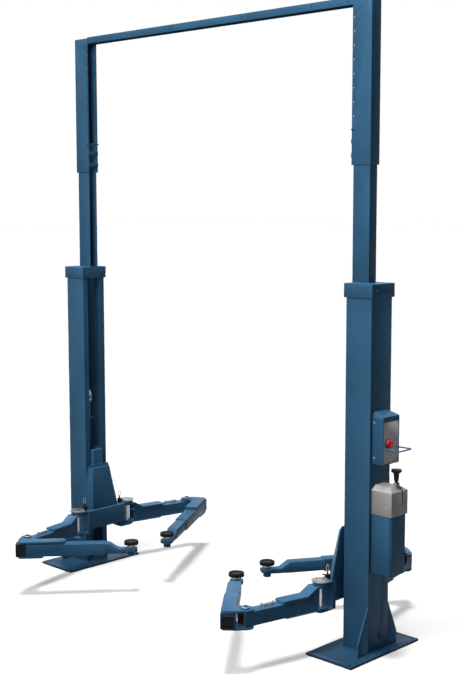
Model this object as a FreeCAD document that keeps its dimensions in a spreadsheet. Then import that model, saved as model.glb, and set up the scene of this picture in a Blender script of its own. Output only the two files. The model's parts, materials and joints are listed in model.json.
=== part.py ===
import FreeCAD, Part
import os
import re
import Sketcher

# Two post car lift with an overhead beam, in millimetres.
# The origin is on the floor, at the centre of the footprint.
# X runs along the two posts, the front is -Y and Z points up.

SIZES = {
    # Frame
    "bay_centre": -72,
    "post_spacing": 3000,
    # Base plates and their gussets
    "plate_length": 390,
    "plate_width": 746,
    "plate_thickness": 16.6,
    "plate_shift": 20,
    "anchor_inset": 30,
    "anchor_radius": 10,
    "middle_anchor_span": 324,
    "gusset_thickness": 10,
    "gusset_length": 103,
    "gusset_edge": 85,
    "gusset_height": 320,
    # Columns, folded to a C that is open to the bay
    "column_width": 211.5,
    "column_depth": 218.9,
    "column_wall": 6,
    "column_lip": 47,
    "column_height": 2421,
    "rack_width": 35,
    "rack_thickness": 6,
    "rack_offset": -8,
    "slot_radius": 8,
    "slot_span": 34,
    "slot_across": -15,
    "slot_up": 112,
    # Collars on the column tops
    "collar_height": 94,
    "collar_overhang": 12.6,
    "collar_wall": 6,
    # Risers and the sleeves that telescope over them
    "riser_width": 139.5,
    "riser_depth": 77.8,
    "riser_wall": 6,
    "riser_shift": 45.7,
    "sleeve_width": 157.7,
    "sleeve_depth": 96,
    "sleeve_rise": 810,
    "sleeve_overlap": 224,
    "sleeve_fit": 0.3,
    "strap_height": 30,
    "strap_thickness": 5,
    "low_strap": 62,
    "high_strap": 155,
    "sleeve_hole_radius": 6,
    "sleeve_hole_inset": 10,
    "sleeve_hole_gap": 90,
    "sleeve_hole_pitch": 91,
    "sleeve_hole_margin": 70,
    "stop_bolt_radius": 6,
    "stop_bolt_reach": 15,
    "beam_height": 43,
    "beam_rise": 8,
    "beam_wall": 5,
    "beam_joint": 418,
    "post_top": 4368,
    # Lift cylinders inside the columns
    "barrel_radius": 43,
    "barrel_height": 1230,
    "barrel_floor": 30,
    "gland_radius": 48,
    "gland_height": 30,
    "rod_radius": 25,
    "rod_fit": 0.3,
    "rod_bottom": 400,
    "rod_reach": 140,
    "yoke_width": 64,
    "yoke_depth": 48,
    "yoke_height": 70,
    "yoke_play": 4,
    "roller_radius": 45,
    "roller_width": 22,
    # Height of the arms' undersides above the floor
    "arm_level": 308,
    # Carriages
    "slide_gap": 5.2,
    "slide_wall": 12,
    "slide_bottom": 22,
    "slide_height": 640,
    "slide_block_fit": 0.3,
    "slide_block_width": 40,
    "slide_block_height": 120,
    "slide_block_inset": 15,
    "neck_width": 100,
    "guard_plane": 136,
    "crossbar_back": 145,
    "crossbar_depth": 100,
    "crossbar_width": 386,
    "crossbar_bottom": 30,
    "cheek_thickness": 33,
    # Guards on the carriages
    "guard_thickness": 8,
    "guard_foot": 390,
    "guard_head": 190,
    "guard_shoulder": 226,
    "guard_shoulder_drop": 35,
    "guard_height": 360,
    "cover_foot": 380,
    "cover_head": 206,
    "cover_height": 336,
    "cover_taper": 60,
    "cover_foot_depth": 75,
    "cover_head_depth": 25,
    "cover_wall": 4,
    # Arm pins with their toothed heads
    "pin_offset": 182,
    "pin_half_span": 268,
    "pin_radius": 19,
    "pin_fit": 0.3,
    "pin_head_radius": 26,
    "pin_head_height": 10,
    "lug_radius": 50,
    "lug_thickness": 14,
    "lug_gap": 1.5,
    "gear_radius": 60,
    "gear_thickness": 10,
    "gear_rise": 9,
    "gear_hub_radius": 24,
    "gear_slot_count": 4,
    "gear_slot_near": 28,
    "gear_slot_far": 43,
    "gear_slot_width": 14,
    "tooth_count": 24,
    "tooth_depth": 6,
    "tooth_gap": 7.5,
    # Arm locks
    "lock_gap": 6,
    "lock_width": 26,
    "lock_height": 38,
    "lock_lever_length": 30,
    "lock_lever_width": 10,
    "lock_lever_height": 8,
    "lock_lever_drop": 6,
    "lock_plunger_radius": 6,
    "lock_plunger_height": 22,
    # Arms
    "arm_lead": 12,
    "arm_reach": 609,
    "arm_root": 50,
    "arm_root_height": 167,
    "arm_slope_start": 63,
    "arm_slope_end": 134,
    "top_plate_height": 122,
    "top_plate_length": 295,
    "bottom_plate_length": 265,
    "arm_plate_corner": 12,
    "arm_gusset": 8,
    "bar_inset": 6,
    "bar_height": 95,
    "bar_wall": 7,
    "bar_end": 36,
    # Elbows
    "elbow_radius": 19,
    "elbow_fit": 0.3,
    "fork_gap": 3.5,
    "fork_thickness": 14,
    "fork_radius": 54,
    "washer_gap": 1,
    "washer_radius": 34,
    "washer_thickness": 6,
    "bolt_head_radius": 20,
    "bolt_head_height": 8,
    # Forearms
    "forearm_offset": 112,
    "forearm_width": 96,
    "forearm_height": 90,
    "forearm_wall": 5,
    "forearm_back": 80,
    "forearm_reach": 611,
    "fork_reach": 300,
    "lower_fork_reach": 130,
    "fork_back": 66,
    "fork_fillet": 40,
    "fork_round": 30,
    "fork_corner": 20,
    "packer_width": 80,
    "front_heading": 49.4,
    "rear_heading": -58.3,
    # Extensions
    "extension_fit": 0.8,
    "extension_wall": 5,
    "extension_inner_end": 646,
    "extension_slope_start": 166,
    "extension_slope_end": 100,
    "tongue_height": 34,
    "tongue_width": 60,
    "front_reach": 814,
    "rear_reach": 1042,
    "holder_radius": 29,
    "holder_drop": 25,
    "holder_half": 48,
    "holder_corner": 22,
    "holder_thickness": 24,
    # Pads and their screws
    "spindle_radius": 16,
    "spindle_fit": 0.3,
    "spindle_drop": 27,
    "nut_radius": 24,
    "nut_height": 12,
    "nut_gap": 10,
    "neck_radius": 20,
    "neck_height": 7,
    "pad_radius": 56,
    "pad_thickness": 26,
    "pad_rib_count": 14,
    "pad_rib_radius": 6.5,
    "pad_dish_radius": 40,
    "pad_dish_depth": 4,
    # Control box
    "box_depth": 92,
    "box_width": 176,
    "box_bottom": 1322,
    "box_front_height": 320,
    "box_back_height": 350,
    "box_chamfer": 18,
    "panel_rim": 7,
    "panel_recess": 6,
    "panel_thickness": 3,
    "panel_fit": 0.5,
    "switch_radius": 25,
    "switch_thickness": 12,
    "switch_grip": 12,
    "switch_grip_rise": 12,
    "switch_across": -32,
    "switch_up": 141,
    "switch_seat": 6,
    "switch_seat_radius": 31,
    "shaft_radius": 5,
    "shaft_fit": 0.3,
    "shaft_depth": 37,
    "guard_rod_radius": 5,
    "guard_rod_out": 117,
    "guard_rod_near": -70,
    "guard_rod_far": 66,
    "guard_rod_up": 108,
    "guard_rod_bend": 14,
    # Power unit
    "unit_depth": 164,
    "unit_width": 170,
    "unit_bottom": 578,
    "unit_height": 406,
    "unit_chamfer": 14,
    "hood_overlap": 3,
    "hood_height": 162,
    "hood_crown": 30,
    "hood_crown_inset": 42,
    "hood_slot_width": 20,
    "hood_slot_depth": 8,
    "hood_slot_across": 38,
    "hood_slot_up": 56,
    "motor_radius": 72,
    "motor_length": 26,
    "motor_out": 96,
    "motor_up": 90,
    "motor_dome": 16,
    "tank_radius": 66,
    "tank_drop": 26,
    "tank_out": 76,
    "lever_out": 129,
    "lever_across": 12,
    "ear_thickness": 6,
    "ear_gap": 5,
    "ear_width": 26,
    "ear_height": 24,
    "lever_boss_radius": 9,
    "lever_boss_width": 14,
    "lever_foot": 24,
    "lever_foot_radius": 15,
    "lever_tip_radius": 19,
    "lever_length": 72,
    "lever_knob_radius": 35,
    "lever_cone_height": 14,
    "lever_rim_height": 14,
}

doc = FreeCAD.newDocument("two_post_lift")
sheet = doc.addObject("Spreadsheet::Sheet", "Sizes")
for row, (alias, number) in enumerate(SIZES.items(), start=1):
    sheet.set(f"A{row}", alias)
    sheet.set(f"B{row}", str(number))
    sheet.setAlias(f"B{row}", alias)
doc.recompute()

parts = []


def formula(text):
    """Write size names as references to the sheet."""

    def reference(word):
        return f"Sizes.{word.group()}" if word.group() in SIZES else word.group()

    return re.sub(r"[a-z_]+", reference, str(text))


def bind(item, **formulas):
    """Bind properties of an object to formulas of sizes."""
    for name, text in formulas.items():
        item.setExpression(name, formula(text))


def move(item, x=0, y=0, z=0, turn=0):
    """Place an object, turned about Z."""
    item.setExpression("Placement.Base.x", formula(x))
    item.setExpression("Placement.Base.y", formula(y))
    item.setExpression("Placement.Base.z", formula(z))
    item.setExpression("Placement.Rotation.Angle", formula(turn))
    return item


def keep(item, label):
    """Mark an object as a finished sub-part."""
    item.Label = label
    parts.append(item)
    return item


def block(name, x, y, z):
    """A box between two corners, each axis given as a pair of formulas."""
    item = doc.addObject("Part::Box", name)
    bind(item, Length=f"({x[1]}) - ({x[0]})", Width=f"({y[1]}) - ({y[0]})",
         Height=f"({z[1]}) - ({z[0]})")
    return move(item, x[0], y[0], z[0])


def round_bar(name, radius, z, x=0, y=0):
    """An upright cylinder between two heights."""
    item = doc.addObject("Part::Cylinder", name)
    bind(item, Radius=radius, Height=f"({z[1]}) - ({z[0]})")
    return move(item, x, y, z[0])


def cross_bar(name, radius, length, x, y, z, axis):
    """A cylinder that starts at a point and lies along X or Y."""
    item = doc.addObject("Part::Cylinder", name)
    bind(item, Radius=radius, Height=length)
    turned = {"x": FreeCAD.Vector(1, 0, 0), "y": FreeCAD.Vector(0, 1, 0)}[axis]
    item.Placement.Rotation = FreeCAD.Rotation(FreeCAD.Vector(0, 0, 1), turned)
    item.setExpression("Placement.Base.x", formula(x))
    item.setExpression("Placement.Base.y", formula(y))
    item.setExpression("Placement.Base.z", formula(z))
    return item


def fuse(name, items):
    item = doc.addObject("Part::MultiFuse", name)
    item.Shapes = items
    return item


def cut(name, base, tools):
    item = doc.addObject("Part::Cut", name)
    item.Base = base
    item.Tool = tools[0] if len(tools) == 1 else fuse(f"{name}_tools", tools)
    return item


def common(name, first, second):
    item = doc.addObject("Part::Common", name)
    item.Base = first
    item.Tool = second
    return item


def open_sketch(body, role, name, offset=0):
    """A sketch on one of the body's own origin planes, moved along its normal."""
    plane = next(p for p in body.Origin.OriginFeatures if p.Role == role)
    sketch = body.newObject("Sketcher::SketchObject", name)
    sketch.AttachmentSupport = [(plane, "")]
    sketch.MapMode = "FlatFace"
    sketch.setExpression("AttachmentOffset.Base.z", formula(offset))
    return sketch


def pin_point(sketch, element, point, start, x, y):
    """Fix a point of a sketch at two formulas."""
    for kind, value, text in (("DistanceX", start.x, x), ("DistanceY", start.y, y)):
        index = sketch.addConstraint(Sketcher.Constraint(kind, -1, 1, element, point, value))
        sketch.setExpression(f"Constraints[{index}]", formula(text))


def draw_outline(sketch, corners):
    """A closed outline of straight lines through corners given as formulas."""
    count = len(corners)
    first = sketch.GeometryCount
    starts = [FreeCAD.Vector(10 * i + 1, 7 * (i % 2) + 1, 0) for i in range(count)]
    for i in range(count):
        sketch.addGeometry(Part.LineSegment(starts[i], starts[(i + 1) % count]))
    for i in range(count):
        sketch.addConstraint(
            Sketcher.Constraint("Coincident", first + i, 2, first + (i + 1) % count, 1))
    for i, (x, y) in enumerate(corners):
        pin_point(sketch, first + i, 1, starts[i], x, y)


def draw_circle(sketch, x, y, radius):
    centre = FreeCAD.Vector(1, 1, 0)
    index = sketch.addGeometry(Part.Circle(centre, FreeCAD.Vector(0, 0, 1), 1))
    pin_point(sketch, index, 3, centre, x, y)
    rule = sketch.addConstraint(Sketcher.Constraint("Radius", index, 1))
    sketch.setExpression(f"Constraints[{rule}]", formula(radius))


def extrude(name, role, corners, length, offset=0, holes=(), middle=False):
    """A body padded from an outline, with round holes through it."""
    body = doc.addObject("PartDesign::Body", name)
    sketch = open_sketch(body, role, f"{name}_sketch", offset)
    draw_outline(sketch, corners)
    for x, y, radius in holes:
        draw_circle(sketch, x, y, radius)
    pad = body.newObject("PartDesign::Pad", f"{name}_pad")
    pad.Profile = sketch
    pad.Midplane = middle
    bind(pad, Length=length)
    return body


def loft(name, role, sections):
    """A body drawn between outlines on parallel planes, each given with its offset."""
    body = doc.addObject("PartDesign::Body", name)
    sketches = []
    for i, (offset, corners) in enumerate(sections):
        sketches.append(open_sketch(body, role, f"{name}_section_{i}", offset))
        draw_outline(sketches[i], corners)
    item = body.newObject("PartDesign::AdditiveLoft", f"{name}_skin")
    item.Profile = sketches[0]
    item.Sections = sketches[1:]
    item.Ruled = True
    return body


def hole_row(body, name, x, z, radius, pitch, count):
    """A hole right through a body along Y, repeated upwards."""
    sketch = open_sketch(body, "XZ_Plane", f"{name}_sketch")
    draw_circle(sketch, x, z, radius)
    hole = body.newObject("PartDesign::Pocket", name)
    hole.Profile = sketch
    hole.Type = "ThroughAll"
    hole.Midplane = True
    row = body.newObject("PartDesign::LinearPattern", f"{name}_row")
    row.Originals = [hole]
    row.Direction = (sketch, ["V_Axis"])
    bind(row, Length=f"{pitch} * ({count} - 1)", Occurrences=count)
    body.Tip = row


def pocket_ring(body, name, sketch, length, count):
    """A pocket above its sketch, repeated about the body's own Z axis."""
    pocket = body.newObject("PartDesign::Pocket", name)
    pocket.Profile = sketch
    pocket.Reversed = True
    bind(pocket, Length=length)
    ring = body.newObject("PartDesign::PolarPattern", f"{name}_ring")
    ring.Originals = [pocket]
    ring.Axis = (sketch, ["N_Axis"])
    ring.Angle = 360
    bind(ring, Occurrences=count)
    body.Tip = ring


def outwards(way, near, far):
    """A pair of limits in rising order, on the side that way is the sign of."""
    return (f"{near}", f"{far}") if way > 0 else (f"-({far})", f"-({near})")


def mirrored(points):
    """Corners of one side and their mirror images, as one loop about the second axis."""
    return points + [(f"-({x})", y) for x, y in reversed(points)]


POSTS = {"left": 1, "right": -1}
ENDS = {"front": -1, "rear": 1}
COLUMN_TOP = "column_height + collar_height - collar_wall"
COLLAR_TOP = "column_height + collar_height"
SLEEVE_TOP = "post_top - beam_height"
RISER_TOP = f"({SLEEVE_TOP} - sleeve_rise)"
SLEEVE_BOTTOM = f"({RISER_TOP} - sleeve_overlap)"
LUG_TOP = "arm_root_height + lug_gap + lug_thickness"
BAR_TOP = "bar_inset + bar_height"
FORK_UNDER = "bar_inset - fork_gap"
FORK_OVER = f"{BAR_TOP} + fork_gap"
FORK_TOP = f"{FORK_OVER} + fork_thickness"
BAR_WIDTH = "2 * lug_radius - 2 * bar_inset"
EXTENSION_BOTTOM = f"{FORK_UNDER} + forearm_wall + extension_fit"
EXTENSION_TOP = f"{FORK_UNDER} + forearm_height - forearm_wall - extension_fit"
TONGUE_TOP = f"{EXTENSION_BOTTOM} + tongue_height"
PAD_BOTTOM = f"{TONGUE_TOP} + nut_gap + nut_height + neck_height"


def post_x(side):
    return f"bay_centre - {POSTS[side]} * post_spacing / 2"


def at_post(item, side, label, z=0):
    """Stand a sub-part drawn with +X towards the bay at its post."""
    move(item, post_x(side), 0, z, 0 if side == "left" else 180)
    return keep(item, label)


def base_plate(side):
    name = f"{side}_base_plate"
    ends = ("plate_shift - plate_length / 2", "plate_shift + plate_length / 2")
    rows = ("-plate_width / 2", "plate_width / 2")
    holes = [(f"{ends[0]} + anchor_inset", f"{row} * middle_anchor_span / 2", "anchor_radius")
             for row in (-1, 1)]
    for x in (f"{ends[0]} + anchor_inset", f"{ends[1]} - anchor_inset"):
        for y in (f"{rows[0]} + anchor_inset", f"{rows[1]} - anchor_inset"):
            holes.append((x, y, "anchor_radius"))
    corners = [(ends[0], rows[0]), (ends[1], rows[0]), (ends[1], rows[1]), (ends[0], rows[1])]
    plate = extrude(f"{name}_flat", "XY_Plane", corners, "plate_thickness", holes=holes)
    gussets = []
    for way in (-1, 1):
        near = f"{way} * column_depth / 2"
        far = f"{way} * (column_depth / 2 + gusset_length)"
        outline = [
            (near, "plate_thickness"),
            (far, "plate_thickness"),
            (far, "plate_thickness + gusset_edge"),
            (near, "plate_thickness + gusset_height"),
        ]
        gussets.append(extrude(f"{name}_gusset_{way + 1}", "YZ_Plane", outline,
                               "gusset_thickness", offset="-column_width / 2"))
    at_post(fuse(name, [plate] + gussets), side, name)


def column(side):
    name = f"{side}_column"
    out, half = "column_width / 2", "column_depth / 2"
    inner, side_wall = f"{out} - column_wall", f"{half} - column_wall"
    lip = f"{half} - column_lip"
    front = [
        (f"-{out}", f"-({half})"),
        (out, f"-({half})"),
        (out, f"-({lip})"),
        (inner, f"-({lip})"),
        (inner, f"-({side_wall})"),
        (f"-({inner})", f"-({side_wall})"),
    ]
    rear = [(x, f"-1 * ({y})") for x, y in reversed(front)]
    shell = extrude(f"{name}_shell", "XY_Plane", front + rear,
                    f"{COLUMN_TOP} - plate_thickness", offset="plate_thickness")
    middle = ("rack_offset - rack_width / 2", "rack_offset + rack_width / 2")
    height = ("plate_thickness", COLUMN_TOP)
    racks = [
        block(f"{name}_front_rack", middle, (f"-({side_wall})", f"rack_thickness - ({side_wall})"),
              height),
        block(f"{name}_rear_rack", middle, (f"{side_wall} - rack_thickness", side_wall), height),
    ]
    through = ("-column_width / 2 - 1", f"1 - ({inner})")
    slot = [block(f"{name}_slot", through, ("slot_across - slot_radius", "slot_across + slot_radius"),
                  ("slot_up - slot_span / 2", "slot_up + slot_span / 2"))]
    for way in (-1, 1):
        slot.append(cross_bar(f"{name}_slot_end_{way + 1}", "slot_radius", "column_wall + 2",
                              through[0], "slot_across", f"slot_up + {way} * slot_span / 2", "x"))
    at_post(cut(name, fuse(f"{name}_frame", [shell] + racks), slot), side, name)


def collar(side):
    name = f"{side}_collar"
    out, half = "column_width / 2 + collar_overhang", "column_depth / 2 + collar_overhang"
    outside = block(f"{name}_outside", (f"-({out})", out), (f"-({half})", half),
                    ("column_height", COLLAR_TOP))
    hollow = block(f"{name}_hollow", (f"collar_wall - ({out})", f"{out} - collar_wall"),
                   (f"collar_wall - ({half})", f"{half} - collar_wall"),
                   ("column_height - 1", COLUMN_TOP))
    at_post(cut(name, outside, [hollow]), side, name)


def channel(name, width, depth, wall, z, x_centre):
    """A U section that is open to the bay."""
    back, front = f"{x_centre} - ({width}) / 2", f"{x_centre} + ({width}) / 2"
    half = f"({depth}) / 2"
    outline = [
        (back, f"-{half}"),
        (front, f"-{half}"),
        (front, f"{wall} - {half}"),
        (f"{back} + {wall}", f"{wall} - {half}"),
        (f"{back} + {wall}", f"{half} - ({wall})"),
        (front, f"{half} - ({wall})"),
        (front, half),
        (back, half),
    ]
    return extrude(name, "XY_Plane", outline, f"({z[1]}) - ({z[0]})", offset=z[0])


def riser(side):
    name = f"{side}_riser"
    profile = channel(f"{name}_channel", "riser_width", "riser_depth", "riser_wall",
                      (COLLAR_TOP, RISER_TOP), "riser_shift")
    at_post(profile, side, name)


def upper_sleeve(side):
    name = f"{side}_upper_sleeve"
    wall = "((sleeve_width - riser_width) / 2 - sleeve_fit)"
    tube = channel(f"{name}_channel", "sleeve_width", "sleeve_depth", wall,
                   (SLEEVE_BOTTOM, SLEEVE_TOP), "riser_shift")
    front = "riser_shift + sleeve_width / 2"
    bolt_z = f"({RISER_TOP} + stop_bolt_radius)"
    low_hole = f"({bolt_z} + sleeve_hole_gap)"
    hole_row(tube, f"{name}_holes", f"{front} - sleeve_hole_inset", low_hole,
             "sleeve_hole_radius", "sleeve_hole_pitch",
             f"(floor(({SLEEVE_TOP} - sleeve_hole_margin - {low_hole}) / sleeve_hole_pitch) + 1)")
    lid = block(f"{name}_lid", ("riser_shift - sleeve_width / 2", front),
                ("-sleeve_depth / 2", "sleeve_depth / 2"), (SLEEVE_TOP, "post_top"))
    straps = [
        block(f"{name}_{label}", (front, f"{front} + strap_thickness"),
              ("-sleeve_depth / 2", "sleeve_depth / 2"),
              (f"{SLEEVE_BOTTOM} + {label} - strap_height / 2",
               f"{SLEEVE_BOTTOM} + {label} + strap_height / 2"))
        for label in ("low_strap", "high_strap")
    ]
    bolt = cross_bar(f"{name}_stop_bolt", "stop_bolt_radius", "sleeve_depth + 2 * stop_bolt_reach",
                     f"{front} - sleeve_hole_inset", "-sleeve_depth / 2 - stop_bolt_reach",
                     bolt_z, "y")
    at_post(fuse(name, [tube, lid, bolt] + straps), side, name)


def beam_part(name, start, end):
    """A length of the overhead beam, folded to a channel that is open below."""
    half = "sleeve_depth / 2"
    bottom, top = "post_top - beam_height", "post_top + beam_rise"
    outline = mirrored([
        (f"-{half}", bottom),
        (f"-{half}", top),
    ]) + [
        (f"{half} - beam_wall", bottom),
        (f"{half} - beam_wall", f"{top} - beam_wall"),
        (f"beam_wall - {half}", f"{top} - beam_wall"),
        (f"beam_wall - {half}", bottom),
    ]
    beam = extrude(f"{name}_channel", "YZ_Plane", outline, f"({end}) - ({start})")
    keep(move(beam, start), name)


def lift_cylinder(side):
    name = f"{side}_lift_cylinder"
    bore = "rod_radius + rod_fit"
    barrel = round_bar(f"{name}_barrel", "barrel_radius", ("plate_thickness", "barrel_height"))
    gland = round_bar(f"{name}_gland", "gland_radius",
                      ("barrel_height - gland_height", "barrel_height"))
    hole = round_bar(f"{name}_bore", bore,
                     ("plate_thickness + barrel_floor", "barrel_height + 1"))
    at_post(cut(name, fuse(f"{name}_outside", [barrel, gland]), [hole]), side, name)


def cylinder_rod(side):
    name = f"{side}_cylinder_rod"
    foot = "barrel_height + rod_reach"
    roller_z = f"{foot} + yoke_height"
    rod = round_bar(f"{name}_bar", "rod_radius", ("rod_bottom", foot))
    half, deep = "yoke_width / 2", "yoke_depth / 2"
    yoke = block(f"{name}_yoke", (f"-{half}", half), (f"-{deep}", deep), (foot, roller_z))
    groove = block(f"{name}_groove", (f"-{half} - 1", f"{half} + 1"),
                   ("-roller_width / 2 - 1", "roller_width / 2 + 1"),
                   (f"{roller_z} - roller_radius - yoke_play", f"{roller_z} + 1"))
    roller = cross_bar(f"{name}_roller", "roller_radius", "roller_width", 0,
                       "-roller_width / 2", roller_z, "y")
    axle = cross_bar(f"{name}_axle", "rod_radius / 2", "yoke_depth", 0, f"-{deep}",
                     f"{roller_z} - rod_radius / 2", "y")
    head = cut(f"{name}_head", yoke, [groove])
    at_post(fuse(name, [rod, head, roller, axle]), side, name)


def carriage(side):
    name = f"{side}_carriage"
    out = "(column_width / 2 - column_wall - slide_gap)"
    half = "(column_depth / 2 - column_wall - rack_thickness - slide_gap)"
    z = ("slide_bottom", "slide_bottom + slide_height")
    slide = block(f"{name}_slide", (f"-{out}", out), (f"-{half}", half), z)
    bore = block(f"{name}_bore", (f"slide_wall - {out}", f"{out} - slide_wall"),
                 (f"slide_wall - {half}", f"{half} - slide_wall"),
                 (f"{z[0]} - 1", f"{z[1]} + 1"))
    neck = block(f"{name}_neck", (f"{out} - slide_wall", "guard_plane"),
                 ("-neck_width / 2", "neck_width / 2"),
                 ("crossbar_bottom", "slide_bottom + slide_height"))
    crossbar = block(f"{name}_crossbar", ("guard_plane", "crossbar_back + crossbar_depth"),
                     ("-crossbar_width / 2", "crossbar_width / 2"),
                     ("crossbar_bottom", LUG_TOP))
    relief = block(f"{name}_relief", ("guard_plane - 1", "crossbar_back"),
                   ("-crossbar_width / 2 - 1", "crossbar_width / 2 + 1"),
                   ("crossbar_bottom - 1", f"{LUG_TOP} + 1"))
    bar = cut(f"{name}_bar", crossbar, [relief])
    bridge = block(f"{name}_bridge", ("guard_plane - 1", "crossbar_back + 1"),
                   ("-neck_width / 2", "neck_width / 2"), ("crossbar_bottom", LUG_TOP))
    solids = [slide, neck, bar, bridge]
    holes = [bore]
    for end, way in ENDS.items():
        tip = f"{way} * pin_half_span"
        root = "crossbar_width / 2 - cheek_thickness"
        across = ("pin_offset - lug_radius", "pin_offset + lug_radius")
        cheek = outwards(way, root, "crossbar_width / 2")
        arms_side = outwards(way, root, "pin_half_span")
        under = ("-lug_gap - lug_thickness", "-lug_gap")
        over = ("arm_root_height + lug_gap", LUG_TOP)
        solids.append(block(f"{name}_{end}_cheek", across, cheek, (under[0], over[1])))
        for level, heights in (("lower", under), ("upper", over)):
            solids.append(block(f"{name}_{end}_{level}_lug", across, arms_side, heights))
            solids.append(round_bar(f"{name}_{end}_{level}_eye", "lug_radius", heights,
                                    "pin_offset", tip))
        holes.append(round_bar(f"{name}_{end}_hole", "pin_radius + pin_fit",
                               (f"{under[0]} - 1", f"{over[1]} + 1"), "pin_offset", tip))
    at_post(cut(name, fuse(f"{name}_frame", solids), holes), side, name, "arm_level")


def slide_blocks(side):
    """Plastic corner blocks that guide the carriage inside its column."""
    name = f"{side}_slide_blocks"
    out = "(column_width / 2 - column_wall - slide_gap)"
    half = "(column_depth / 2 - column_wall - rack_thickness - slide_gap)"
    tip = f"{out} + slide_gap - slide_block_fit"
    rim = "column_depth / 2 - column_wall - slide_block_fit"
    low = "slide_bottom + slide_block_inset"
    high = "slide_bottom + slide_height - slide_block_inset"
    heights = {
        "lower": (low, f"{low} + slide_block_height"),
        "upper": (f"{high} - slide_block_height", high),
    }
    solids = []
    for level, z in heights.items():
        for i, (x, y) in enumerate([(-1, -1), (-1, 1), (1, -1), (1, 1)]):
            solids.append(block(f"{name}_{level}_{i}",
                                outwards(x, f"{tip} - slide_block_width", tip),
                                outwards(y, half, rim), z))
    at_post(fuse(name, solids), side, name, "arm_level")


def carriage_guard(side):
    name = f"{side}_carriage_guard"
    plate = extrude(f"{name}_plate", "YZ_Plane", mirrored([
        ("-guard_foot / 2", LUG_TOP),
        ("-guard_shoulder / 2", f"{LUG_TOP} + guard_height - guard_shoulder_drop"),
        ("-guard_head / 2", f"{LUG_TOP} + guard_height"),
    ]), "guard_thickness", offset="guard_plane")
    at_post(fuse(name, [plate, guard_cover(name)]), side, name, "arm_level")


def guard_cover(name):
    """The pressed cover on a guard's plate, which leans in on its sides and towards its top."""
    face = "guard_plane + guard_thickness"
    forms = {}
    for label, wall in (("outside", "0"), ("inside", "cover_wall")):
        foot, head = f"cover_foot / 2 - {wall}", f"cover_head / 2 - {wall}"
        low, high = f"{LUG_TOP} + {wall}", f"{LUG_TOP} + cover_height - {wall}"
        sides = loft(f"{name}_{label}_sides", "YZ_Plane", [
            (face, mirrored([(f"-({foot})", low), (f"-({head})", high)])),
            (f"{face} + cover_foot_depth",
             mirrored([(f"cover_taper - ({foot})", low), (f"cover_taper - ({head})", high)])),
        ])
        front = extrude(f"{name}_{label}_front", "XZ_Plane", [
            (f"{face} - 1", low),
            (f"{face} + cover_foot_depth - {wall}", low),
            (f"{face} + cover_head_depth - {wall}", high),
            (f"{face} - 1", high),
        ], "cover_foot", middle=True)
        forms[label] = common(f"{name}_{label}", sides, front)
    return cut(f"{name}_cover", forms["outside"], [forms["inside"]])


def arm_locks(side):
    name = f"{side}_arm_locks"
    solids = []
    for end, way in ENDS.items():
        far = "pin_half_span - gear_radius - lock_gap"
        middle = f"{way} * ({far} - lock_width / 2)"
        edge = "pin_offset + lock_width / 2"
        top = f"{LUG_TOP} + lock_height"
        solids.append(fuse(f"{name}_{end}", [
            block(f"{name}_{end}_housing", ("pin_offset - lock_width / 2", edge),
                  outwards(way, f"{far} - lock_width", far), (LUG_TOP, top)),
            block(f"{name}_{end}_lever", (edge, f"{edge} + lock_lever_length"),
                  (f"{middle} - lock_lever_width / 2", f"{middle} + lock_lever_width / 2"),
                  (f"{top} - lock_lever_drop - lock_lever_height", f"{top} - lock_lever_drop")),
            round_bar(f"{name}_{end}_plunger", "lock_plunger_radius",
                      (top, f"{top} + lock_plunger_height"), "pin_offset", middle),
        ]))
    at_post(fuse(name, solids), side, name, "arm_level")


def arm_place(side, end):
    """Centre of an arm's pin, and the arm's heading."""
    s, e = POSTS[side], ENDS[end]
    x = f"{post_x(side)} + {s} * pin_offset"
    y = f"{e} * pin_half_span"
    return x, y, f"{e} * (90 - {s} * arm_lead)"


def elbow_place(side, end):
    """Centre of an arm's elbow, and the forearm's heading."""
    x, y, turn = arm_place(side, end)
    heading = f"{end}_heading" if side == "left" else f"180 - {end}_heading"
    return f"{x} + arm_reach * cos({turn})", f"{y} + arm_reach * sin({turn})", heading


def put(item, place, label):
    x, y, turn = place
    return keep(move(item, x, y, "arm_level", turn), label)


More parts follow.
